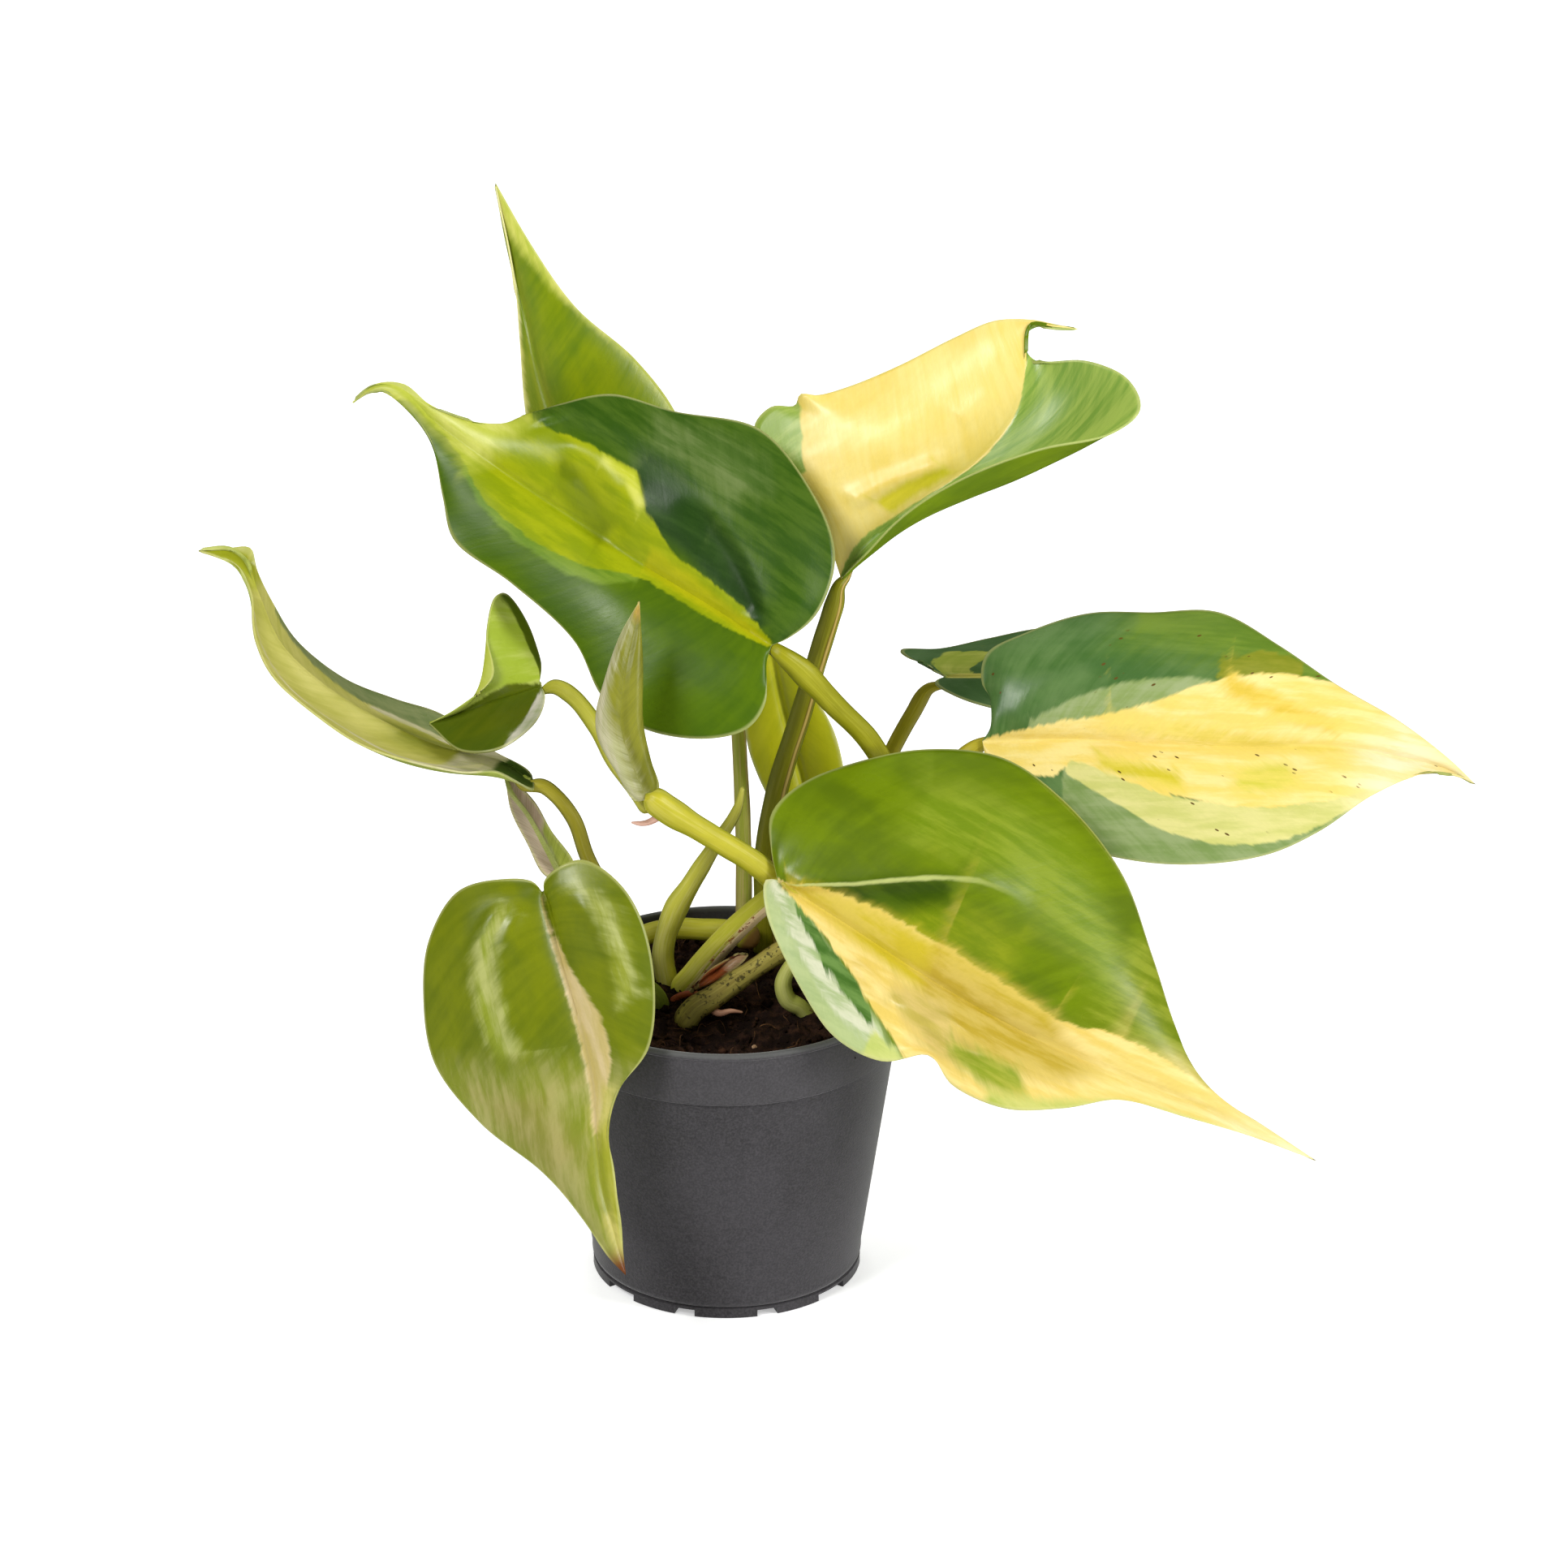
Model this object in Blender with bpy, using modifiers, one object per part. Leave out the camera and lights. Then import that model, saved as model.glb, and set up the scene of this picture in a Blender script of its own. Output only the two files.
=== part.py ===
"""Potted heart-leaf philodendron: a trailing young plant in a small round nursery pot.

Every leaf is a blade stretched between three curves, its rib and its two edges.
Stalks and stems are tubes along smooth curves. The pot is turned. Units below are
millimetres; +Z is up, the pot's axis is the Z axis and its foot stands on Z = 0.
"""
import bpy
import bmesh
import math
import numpy as np
from mathutils import Matrix

MM = 0.001

# ---- pot -----------------------------------------------------------------------------
RIM_RADIUS = 31.0
POT_HEIGHT = 54.5
WALL = 1.3
COLLAR_HEIGHT = 10.0
COLLAR_STEP = 0.5
COLLAR_FLARE = 0.7
BASE_RADIUS = 23.8
FOOT_RADIUS = 23.7
FOOT_WIDTH = 2.4
FOOT_HEIGHT = 2.0
PAD_RADIUS = 8.0
FLOOR_TOP = 3.2
NOTCH_HEIGHT = 1.3
# each notch in the foot ring: (angle from the front, width), in degrees
NOTCHES = [(18, 9), (52, 17), (90, 9), (128, 17), (162, 9)]
DRAIN_RADIUS = 2.0
DRAIN_CIRCLE = 15.0
DRAIN_COUNT = 6
TURN_STEPS = 48

# ---- soil ----------------------------------------------------------------------------
GAP = 0.35
SOIL_TOP = 51.6
GRAIN = (13, -22.5, 53.3)
GRAIN_RADIUS = 1.4

# ---- blades --------------------------------------------------------------------------
BLADE_THICK = 0.6
ACROSS, ALONG = 12, 14
RIB_EASE = 1.35          # rows start close together on the rib, so the lobes sweep back
# bow: how far the left and right halves arch up, as a share of their width
BLADES = {
    "leaf_front_right": dict(
        rib=[(9, -14, 80), (21, -17, 73), (36, -21, 64), (51, -24, 56), (67, -26, 49),
             (82, -27, 43), (93, -29, 38), (102, -30, 34)],
        left=[(9, -14, 80), (8, -11, 84), (8, -6, 89), (15, 0, 93), (33, 7, 95), (48, 9, 93),
              (59, 6, 86), (69, -2, 75), (74, -11, 64), (78, -19, 54), (82, -24, 46),
              (92, -27, 40), (102, -30, 34)],
        right=[(9, -14, 80), (7, -14, 80), (7, -18, 76), (13, -26, 65), (19, -31, 58),
               (27, -32, 54), (35, -30, 54), (39, -33, 50), (48, -34, 46), (58, -32, 45),
               (68, -29, 45), (79, -29, 42), (91, -29, 38), (102, -30, 34)],
        bow=(0.16, 0.10)),
    "leaf_middle_left": dict(
        rib=[(8, 2, 117), (-2, 7, 122), (-15, 13, 128), (-27, 19, 134), (-40, 25, 141),
             (-51, 32, 147), (-57, 35, 152), (-61, 36, 152), (-65, 35, 149)],
        left=[(8, 2, 117), (7, 0, 114), (7, -4, 109), (4, -6, 105), (-3, -6, 103), (-14, -4, 104),
              (-21, 0, 108), (-26, 6, 116), (-37, 13, 124), (-47, 18, 130), (-49, 23, 136),
              (-51, 29, 144), (-55, 33, 148), (-59, 35, 151), (-62, 35, 151), (-65, 35, 149)],
        right=[(8, 2, 117), (11, 3, 118), (16, 5, 122), (19, 10, 130), (15, 18, 139), (6, 25, 148),
               (-9, 28, 150), (-20, 31, 152), (-29, 31, 150), (-36, 30, 147), (-43, 30, 147),
               (-51, 33, 149), (-56, 36, 152), (-61, 36, 152), (-65, 35, 149)],
        bow=(0.10, 0.14)),
    "leaf_yellow": dict(
        rib=[(20, 20, 122), (24, 22, 127), (33, 24, 134), (44, 26, 142), (50, 29, 149),
             (52, 32, 156), (53, 36, 163), (57, 35, 163), (61, 34, 163)],
        left=[(20, 20, 122), (19, 22, 125), (18, 25, 130), (13, 30, 137), (6, 34, 140),
              (5, 37, 144), (8, 38, 147), (12, 37.4, 147.4), (13, 36.8, 149.8), (16, 36.8, 149.6),
              (21, 37, 151), (30, 37, 155), (40, 38, 160), (47, 38, 163), (53, 37, 163.6),
              (57, 35.4, 163.4), (61, 34, 163)],
        right=[(20, 20, 122), (23, 19, 126), (30, 18, 134), (40, 16, 142), (54, 13, 149),
               (66, 13, 152), (71, 16, 155), (69, 24, 158), (62, 29, 159), (56, 31.5, 157.6),
               (52.2, 34.2, 156.6), (50.2, 36.8, 158.2), (50.4, 37.8, 161), (53, 37.2, 162.6),
               (57, 35, 162.8), (61, 34, 163)],
        bow=(0.06, -0.18)),
    "leaf_right": dict(
        rib=[(45, 25, 89), (61, 26, 89), (76, 26, 88), (92, 27, 87), (107, 27, 87), (119, 27, 85),
             (127, 26, 83), (132, 24, 81)],
        left=[(45, 25, 89), (47, 28, 91), (47, 30, 94), (45, 32, 97), (46, 36, 101), (53, 39, 104),
              (64, 42, 106), (75, 43, 106), (87, 43, 106), (98, 39, 101), (108, 35, 95),
              (119, 31, 90), (127, 27, 85), (132, 24, 81)],
        right=[(45, 25, 89), (46, 22, 85), (49, 18, 81), (58, 14, 75), (70, 12, 72), (82, 12, 71),
               (95, 14, 72), (104, 17, 75), (114, 22, 80), (124, 25, 83), (129, 25, 82),
               (132, 24, 81)],
        bow=(0.20, 0.08)),
    "leaf_lower_left": dict(
        rib=[(-31, -20, 80), (-28, -25, 70), (-24.5, -30, 59), (-22.5, -34, 50), (-22, -37, 42),
             (-21, -40, 34), (-19, -43.5, 27), (-17, -46, 20)],
        left=[(-31, -20, 80), (-31, -19, 82), (-28, -19, 85), (-24, -19, 86), (-18, -22, 83),
              (-14, -25, 77), (-12, -29, 67), (-13, -33, 57), (-18, -35, 50), (-20, -37, 43),
              (-19, -39, 37), (-18, -43, 29), (-17, -46, 20)],
        right=[(-31, -20, 80), (-33, -19, 82), (-38, -18, 82), (-46, -17, 79), (-51, -19, 71),
               (-52, -22, 62), (-50, -27, 51), (-42, -32, 42), (-32, -37, 36), (-24, -42, 28),
               (-20, -45, 23), (-17, -46, 20)],
        bow=(0.12, 0.16)),
    "leaf_back_left": dict(
        rib=[(-18, 33, 125), (-27, 36, 137), (-32, 39, 150), (-35, 43, 162), (-38, 47, 174),
             (-40, 50, 184)],
        left=[(-18, 33, 125), (-21, 32, 121), (-27, 32, 123), (-33, 35, 135), (-35, 38, 146),
              (-36, 42, 158), (-37, 45, 170), (-40, 50, 184)],
        right=[(-18, 33, 125), (-15, 32, 120), (-8, 34, 124), (-5, 38, 135), (-9, 41, 145),
               (-16, 43, 154), (-26, 44, 163), (-34, 47, 174), (-40, 50, 184)],
        bow=(0.05, 0.10)),
    "leaf_far_left": dict(
        rib=[(-33, -8, 96), (-38, -6, 99), (-49, -4, 101), (-59, 0, 104), (-69, 6, 108),
             (-77, 13, 113), (-81, 20, 119), (-84, 27, 123), (-87, 29, 124), (-92, 28, 124)],
        left=[(-33, -8, 96), (-33, -14, 97), (-39, -17, 102), (-45, -22, 104), (-55, -23, 107),
              (-65, -17, 109), (-76, -6, 113), (-81, 7, 116), (-82, 17, 120), (-85, 25, 122),
              (-88, 27, 123), (-92, 28, 124)],
        right=[(-33, -8, 96), (-34, -1, 95), (-41, 8, 95), (-50, 19, 97), (-58, 23, 98),
               (-67, 25, 101), (-75, 27, 107), (-79, 27, 114), (-82, 28, 120), (-83, 29, 124),
               (-87, 29, 124), (-92, 28, 124)],
        bow=(-0.10, -0.10)),
    "leaf_small_folded": dict(
        rib=[(-32, 4, 109), (-36, 3, 108), (-41, 1, 107), (-46, 0, 105), (-51, -2, 104)],
        left=[(-32, 4, 109), (-31, 0, 108), (-33, -7, 106), (-39, -13, 104), (-45, -11, 103),
              (-51, -2, 104)],
        right=[(-32, 4, 109), (-32, 10, 111), (-34, 16, 115), (-38, 20, 119), (-40, 16, 120),
               (-41, 8, 116), (-40, 2, 111), (-45, 0, 107), (-51, -2, 104)],
        bow=(0.05, 0.05)),
    "leaf_behind_stalks": dict(
        rib=[(8, 32, 102.5), (10, 31, 92.5), (13, 29, 81), (16, 26, 70), (20, 23, 61)],
        left=[(8, 32, 102.5), (11, 32, 102.5), (15, 31, 96), (19, 30, 88.5), (21, 28, 80),
              (22, 25, 70), (20, 23, 61)],
        right=[(8, 32, 102.5), (6, 32, 102.5), (3.5, 31, 96), (3.5, 29.5, 87.5), (5.5, 28, 81),
               (10, 26, 73), (20, 23, 61)],
        bow=(0.10, 0.10)),
    "leaf_back_right": dict(
        rib=[(39, 47, 92), (46, 47, 92), (55, 46, 92), (65, 45, 91), (73, 44, 90)],
        left=[(39, 47, 92), (35, 52, 92), (31, 56, 93), (38, 62, 91), (47, 67, 91), (59, 69, 92),
              (68, 61, 93), (73, 44, 90)],
        right=[(39, 47, 92), (37, 44, 92), (40, 39, 92), (47, 33, 92), (57, 31, 91), (65, 35, 91),
               (73, 44, 90)],
        bow=(0.00, 0.00)),
    "sheath_green": dict(
        rib=[(-13, -18.5, 97), (-15.5, -17.5, 103), (-17.5, -16, 110), (-17, -13, 118),
             (-15.5, -9, 124), (-14.5, -6.5, 129)],
        left=[(-13, -18.5, 97), (-15.5, -17.5, 96.5), (-18.5, -16, 101), (-21.5, -14, 106),
              (-22, -13, 110), (-20.5, -11, 116), (-18, -8, 123), (-14.5, -6.5, 129)],
        right=[(-13, -18.5, 97), (-11.2, -17, 98.5), (-12.5, -15, 103), (-13.8, -13, 109),
               (-14, -10, 116), (-14.2, -8, 122), (-14.5, -6.5, 129)],
        bow=(0.30, 0.30)),
    "sheath_dry": dict(
        rib=[(-28, -12, 79), (-31, -11, 85), (-34, -9, 90), (-37, -8, 94), (-38, -6, 97)],
        left=[(-28, -12, 79), (-31, -12, 80), (-34, -10, 85), (-37, -8, 91), (-38, -6, 97)],
        right=[(-28, -12, 79), (-26, -11, 81), (-30, -9, 87), (-33, -8, 92), (-38, -6, 97)],
        bow=(-0.20, -0.20)),
    "stem_scale": dict(
        rib=[(-6, -8, 56), (-3, -7, 58), (-1, -5, 59), (2, -4, 61), (4, -4, 61)],
        left=[(-6, -8, 56), (-3, -6, 59), (-1, -5, 60), (2, -4, 61), (4, -4, 61)],
        right=[(-6, -8, 56), (-2, -7, 57), (0, -6, 58), (3, -5, 60), (4, -4, 61)],
        bow=(0.20, 0.20)),
}

# ---- stems and stalks: (radius at the start, radius at the end, points) ---------------
TUBE_STEPS = 11
TUBES = {
    "petiole_back_left": (1.3, 1.2, [(3, 23, 53), (3, 27, 66), (2.5, 31, 80), (1.5, 34, 94),
        (-1, 36, 106), (-7, 37, 115), (-15, 36, 122)]),
    "petiole_middle_left": (2.0, 2.1, [(17, 6, 53.5), (22, 8, 64), (27, 12, 80), (28, 12, 88),
        (25, 9, 96), (19, 6, 104), (13, 3, 112), (9.5, 2, 115.5)]),
    "petiole_yellow": (2.1, 1.9, [(7, 19, 53), (7, 20, 60), (7, 21, 69), (9, 22, 81),
        (13, 22, 95), (16, 22, 106), (19, 21, 117), (19.8, 20.5, 120.5)]),
    "vine_stem": (2.3, 2.1, [(19, -2, 54), (17.5, -5, 63), (13, -8.5, 72), (6, -11, 81),
        (-2, -14, 88), (-9.8, -17, 94.6)]),
    "new_shoot": (1.9, 0.5, [(-10.5, 4.5, 52.6), (-11, 4, 58), (-9, 3, 66), (-6, 2, 72),
        (-2, 2, 79), (2, 2, 86), (3, 3, 90)]),
    "stalk_speckled": (2.2, 2.0, [(-6, 1.5, 54), (-4, 2, 56.5), (1, 1, 63), (5.5, -1, 68.5),
        (9, -2, 72)]),
    "side_stem": (1.8, 2.2, [(-18, 13, 54), (-16, 14, 55.5), (-11, 15, 57), (-4, 15, 57),
        (3, 14, 56.5), (5.5, 12.5, 55.2)]),
    "old_stem": (2.3, 2.1, [(-5.5, -12, 54.3), (-2, -10.5, 56), (3, -7.5, 58.5),
        (8, -5, 61), (11.5, -3.5, 62.5)]),
    "small_shoot": (1.3, 1.1, [(13, -9, 53.2), (10.8, -9.5, 55), (10, -9.5, 58),
        (11, -9.5, 61), (13, -9, 63.5)]),
    "petiole_small_folded": (1.4, 1.4, [(-15, -13.5, 96), (-19, -11, 101), (-22, -6, 105),
        (-26, 0, 108), (-29.3, 3, 108.3)]),
    "petiole_far_left": (1.3, 1.3, [(-16, 0, 53.3), (-18.5, -2, 62), (-21, -4, 73),
        (-24, -6, 81), (-26, -7, 88), (-29, -8, 93), (-31.5, -8, 95)]),
    "petiole_lower_left": (1.6, 1.6, [(-12.5, -5, 53.8), (-18, -7, 59), (-25, -12, 69),
        (-29, -16, 76)]),
    "petiole_right": (1.7, 1.6, [(16, 14, 53), (24, 18, 63), (32, 22, 75), (40, 25, 84),
        (42.6, 25.8, 86.4)]),
    "petiole_back_right": (1.5, 1.4, [(12, 17, 53.5), (15, 23, 60), (20, 32, 66), (26, 41, 72),
        (30, 46, 79), (33, 48, 84), (36, 48, 89)]),
    "petiole_front_right": (2.0, 1.7, [(22, -7, 53.5), (20, -11, 62), (16, -14.5, 70),
        (12, -13.5, 76.5)]),
    "petiole_behind_stalks": (1.4, 1.4, [(10, 22, 53), (14, 31, 64), (13, 38, 78), (10, 38, 93),
        (8.3, 34.8, 101)]),
    "stem_root": (0.7, 0.3, [(-12.6, -17, 92.4), (-14, -17.5, 92.2), (-16, -18, 92.6)]),
    "root_left": (0.7, 0.4, [(-8, -4, 53), (-6, -6, 54.5), (-3, -6.5, 54.5)]),
    "root_right": (0.6, 0.3, [(-1, -12, 53.6), (1, -13, 54.5), (3, -12.5, 54)]),
}

# ---- materials: colour, roughness ----------------------------------------------------
COLOURS = {
    "pot_plastic": ((0.062, 0.062, 0.072), 0.62),
    "peat": ((0.018, 0.010, 0.006), 0.95),
    "grain": ((0.42, 0.30, 0.20), 0.9),
    "leaf_dark": ((0.035, 0.10, 0.02), 0.35),
    "leaf_green": ((0.16, 0.27, 0.02), 0.35),
    "leaf_cream": ((0.85, 0.72, 0.25), 0.4),
    "stalk_green": ((0.33, 0.36, 0.04), 0.45),
    "sheath_skin": ((0.40, 0.42, 0.16), 0.6),
    "root_skin": ((0.45, 0.20, 0.11), 0.7),
}
BLADE_SLOT = {
    "leaf_middle_left": "leaf_dark", "leaf_back_right": "leaf_dark", "leaf_yellow": "leaf_cream",
    "leaf_right": "leaf_cream", "sheath_green": "sheath_skin", "sheath_dry": "sheath_skin",
    "stem_scale": "root_skin",
}


def clear_scene():
    for obj in list(bpy.data.objects):
        bpy.data.objects.remove(obj, do_unlink=True)


def new_collection(name):
    coll = bpy.data.collections.new(name)
    bpy.context.scene.collection.children.link(coll)
    return coll


def material(slot):
    mat = bpy.data.materials.get(slot)
    if mat is None:
        mat = bpy.data.materials.new(slot)
        mat.use_nodes = True
        shader = mat.node_tree.nodes["Principled BSDF"]
        colour, rough = COLOURS[slot]
        shader.inputs["Base Color"].default_value = (*colour, 1.0)
        shader.inputs["Roughness"].default_value = rough
        shader.inputs["Metallic"].default_value = 0.0
    return mat


def mesh_object(name, bm, coll, slot=None):
    mesh = bpy.data.meshes.new(name)
    bm.to_mesh(mesh)
    bm.free()
    obj = bpy.data.objects.new(name, mesh)
    coll.objects.link(obj)
    if slot:
        mesh.materials.append(material(slot))
    return obj


def turned(name, profile, coll, slot):
    """A solid of revolution from (radius, height) points that run from the top inwards
    round to the axis at the bottom."""
    bm = bmesh.new()
    verts = [bm.verts.new((r * MM, 0.0, z * MM)) for r, z in profile]
    for a, b in zip(verts, verts[1:]):
        bm.edges.new((a, b))
    obj = mesh_object(name, bm, coll, slot)
    screw = obj.modifiers.new("turn", "SCREW")
    screw.axis = "Z"
    screw.steps = screw.render_steps = TURN_STEPS
    screw.use_merge_vertices = True
    screw.merge_threshold = 0.00005
    return obj


def foot_cutter(coll):
    """Boxes that notch the foot ring and drills for the drain holes, as one object."""
    bm = bmesh.new()
    radius = FOOT_RADIUS * MM
    for angle, width in NOTCHES:
        for side in (-1, 1):
            turn = Matrix.Rotation(math.radians(side * angle - 90.0), 4, "Z")
            place = Matrix.Translation((radius, 0.0, 0.0))
            size = Matrix.Diagonal((8 * MM, 2 * radius * math.sin(math.radians(width / 2)),
                                    2 * NOTCH_HEIGHT * MM, 1.0))
            bmesh.ops.create_cube(bm, size=1.0, matrix=turn @ place @ size)
    for i in range(DRAIN_COUNT):
        turn = Matrix.Rotation(2 * math.pi * i / DRAIN_COUNT, 4, "Z")
        place = Matrix.Translation((DRAIN_CIRCLE * MM, 0.0, FLOOR_TOP / 2 * MM))
        bmesh.ops.create_cone(bm, cap_ends=True, segments=16, radius1=DRAIN_RADIUS * MM,
                              radius2=DRAIN_RADIUS * MM, depth=3 * FLOOR_TOP * MM,
                              matrix=turn @ place)
    obj = mesh_object("foot_cutter", bm, coll)
    obj.hide_render = True
    obj.display_type = "WIRE"
    return obj


def build_pot(coll, cutters):
    collar = POT_HEIGHT - COLLAR_HEIGHT
    wall_top = RIM_RADIUS - COLLAR_FLARE - COLLAR_STEP
    profile = [
        (0.0, FLOOR_TOP),
        (BASE_RADIUS - WALL - 1.2, FLOOR_TOP),
        (BASE_RADIUS - WALL, FLOOR_TOP + 1.2),
        (RIM_RADIUS - WALL - 0.2, POT_HEIGHT - 0.6),
        (RIM_RADIUS - WALL, POT_HEIGHT),
        (RIM_RADIUS - 0.2, POT_HEIGHT),
        (RIM_RADIUS, POT_HEIGHT - 0.4),
        (wall_top + COLLAR_STEP, collar),
        (wall_top, collar - 0.3),
        (BASE_RADIUS, 4.0),
        (FOOT_RADIUS, FOOT_HEIGHT),
        (FOOT_RADIUS, 0.0),
        (FOOT_RADIUS - FOOT_WIDTH, 0.0),
        (FOOT_RADIUS - FOOT_WIDTH, NOTCH_HEIGHT + 0.4),
        (PAD_RADIUS, NOTCH_HEIGHT + 0.4),
        (PAD_RADIUS, 0.0),
        (0.0, 0.0),
    ]
    pot = turned("nursery_pot", profile, coll, "pot_plastic")
    cut = pot.modifiers.new("foot notches", "BOOLEAN")
    cut.operation = "DIFFERENCE"
    cut.solver = "EXACT"
    cut.object = foot_cutter(cutters)


def build_soil(coll):
    inner = RIM_RADIUS - WALL - GAP
    low = BASE_RADIUS - WALL - GAP
    slope = (inner - low) / (POT_HEIGHT - 4.0)
    profile = [
        (0.0, SOIL_TOP),
        (inner * 0.6, SOIL_TOP),
        (low + slope * (SOIL_TOP - 5.5) - 0.3, SOIL_TOP - 0.5),
        (low - 0.2, 5.0),
        (low - 1.6, FLOOR_TOP + GAP),
        (0.0, FLOOR_TOP + GAP),
    ]
    turned("soil", profile, coll, "peat")
    bm = bmesh.new()
    place = Matrix.Translation([c * MM for c in GRAIN]) @ Matrix.Diagonal((1.1, 0.9, 0.8, 1.0))
    bmesh.ops.create_icosphere(bm, subdivisions=2, radius=GRAIN_RADIUS * MM, matrix=place)
    mesh_object("perlite_grain", bm, coll, "grain")


def smooth_curve(points, share):
    """Points on a smooth curve through the given ones, at the given shares of its length."""
    pts = np.array(points, float)
    knots = np.concatenate([[0.0], np.cumsum(np.sqrt(np.linalg.norm(np.diff(pts, axis=0), axis=1)))])
    pts = np.vstack([2 * pts[0] - pts[1], pts, 2 * pts[-1] - pts[-2]])
    knots = np.concatenate([[-knots[1]], knots, [2 * knots[-1] - knots[-2]]])
    fine = []
    for t in np.linspace(0.0, knots[-2], 400):
        i = int(np.clip(np.searchsorted(knots, t, side="right") - 1, 1, len(knots) - 3))
        level = [(pts[j], knots[j], knots[j]) for j in range(i - 1, i + 3)]
        while len(level) > 1:                      # blend neighbours until one point is left
            joined = []
            for (p, p0, p1), (q, q0, q1) in zip(level, level[1:]):
                lo, hi = (p0, q1) if len(level) != 2 else (knots[i], knots[i + 1])
                joined.append(((p * (hi - t) + q * (t - lo)) / (hi - lo), p0, q1))
            level = joined
        fine.append(level[0][0])
    fine = np.array(fine)
    length = np.concatenate([[0.0], np.cumsum(np.linalg.norm(np.diff(fine, axis=0), axis=1))])
    want = np.asarray(share) * length[-1]
    return np.stack([np.interp(want, length, fine[:, k]) for k in range(3)], axis=1)


def blade_rows(rib, left, right, bow, rows):
    """For each row along a blade: the rib point, both edge points and both bow vectors."""
    v = np.linspace(0.0, 1.0, rows + 1)
    mid = smooth_curve(rib, v ** RIB_EASE)
    run = np.gradient(mid, axis=0)
    sides = []
    for edge, sign, lift in ((left, -1, bow[0]), (right, 1, bow[1])):
        reach = smooth_curve(edge, v) - mid
        up = np.cross(reach, run) * sign
        up /= np.linalg.norm(up, axis=1, keepdims=True) + 1e-9
        sides.append((reach, up * np.linalg.norm(reach, axis=1, keepdims=True) * lift))
    return mid, sides


def build_blade(name, spec, coll):
    mid, sides = blade_rows(rows=ALONG, **spec)
    bm = bmesh.new()
    bmesh.ops.create_grid(bm, x_segments=ACROSS, y_segments=ALONG, size=1.0)
    for vert in bm.verts:
        row = round((vert.co.y + 1) / 2 * ALONG)
        reach, arch = sides[0] if vert.co.x < 0 else sides[1]
        a = abs(vert.co.x)
        vert.co = (mid[row] + reach[row] * a + arch[row] * 4 * a * (1 - a)) * MM
    bmesh.ops.remove_doubles(bm, verts=bm.verts, dist=0.00002)
    bmesh.ops.recalc_face_normals(bm, faces=bm.faces)
    obj = mesh_object(name, bm, coll, BLADE_SLOT.get(name, "leaf_green"))
    skin = obj.modifiers.new("thickness", "SOLIDIFY")
    skin.thickness = BLADE_THICK * MM
    skin.offset = 0.0


def build_tube(name, start, end, points, coll):
    share = np.linspace(0.0, 1.0, TUBE_STEPS)
    route = smooth_curve(points, share)
    data = bpy.data.curves.new(name, "CURVE")
    data.dimensions = "3D"
    data.bevel_depth = MM
    data.bevel_resolution = 2
    data.render_resolution_u = 0
    data.use_fill_caps = True
    spline = data.splines.new("POLY")
    spline.points.add(TUBE_STEPS - 1)
    for point, place, s in zip(spline.points, route, share):
        point.co = (*(place * MM), 1.0)
        point.radius = start + (end - start) * s
    data.materials.append(material("root_skin" if "root" in name else "stalk_green"))
    coll.objects.link(bpy.data.objects.new(name, data))


def main():
    clear_scene()
    plant = new_collection("potted_philodendron")
    cutters = new_collection("cutters")
    build_pot(plant, cutters)
    build_soil(plant)
    for name, spec in BLADES.items():
        build_blade(name, spec, plant)
    for name, (start, end, points) in TUBES.items():
        build_tube(name, start, end, points, plant)


main()
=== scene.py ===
"""Looks of the potted philodendron: blades, stalks, sheaths, soil and pot at close-up quality.

A blade is a flat grid stretched between three curves, its rib and its two edges; the grid's
own coordinates (u across, v along) also place the colour patches, folds and veins.
Lengths are millimetres unless a name says otherwise. +Z is up and -Y is the front.
"""

import math

import bpy
import numpy as np
from mathutils import Matrix, Vector, noise


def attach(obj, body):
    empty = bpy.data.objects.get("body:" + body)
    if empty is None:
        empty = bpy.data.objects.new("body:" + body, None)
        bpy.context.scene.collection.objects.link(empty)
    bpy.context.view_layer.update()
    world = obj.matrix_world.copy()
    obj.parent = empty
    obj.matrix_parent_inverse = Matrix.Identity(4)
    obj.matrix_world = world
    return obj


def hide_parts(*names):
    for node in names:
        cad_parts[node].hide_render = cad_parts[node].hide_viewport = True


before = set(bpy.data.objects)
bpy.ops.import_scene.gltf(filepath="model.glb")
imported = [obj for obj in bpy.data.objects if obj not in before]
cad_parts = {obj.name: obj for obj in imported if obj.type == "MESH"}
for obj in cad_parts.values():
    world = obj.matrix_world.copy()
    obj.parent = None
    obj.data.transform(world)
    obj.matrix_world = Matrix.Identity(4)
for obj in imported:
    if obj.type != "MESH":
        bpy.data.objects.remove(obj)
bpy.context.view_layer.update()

MM = 0.001
PALE_RIM = (214, 214, 140)
# painted highlight along the crest of a raised fold
CREST_HIGHLIGHT = (206, 212, 130)
SPECK_BROWN = (96, 70, 20)
TIP_BROWN = (112, 62, 26)
FIBRE_OLIVE = (112, 112, 50)
GREEN = ((112, 134, 18), (88, 114, 6))
OLIVE = ((138, 150, 40), (108, 126, 16))
DARK = ((84, 112, 10), (66, 96, 6))
LIME = ((156, 166, 10), (134, 150, 4))

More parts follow.
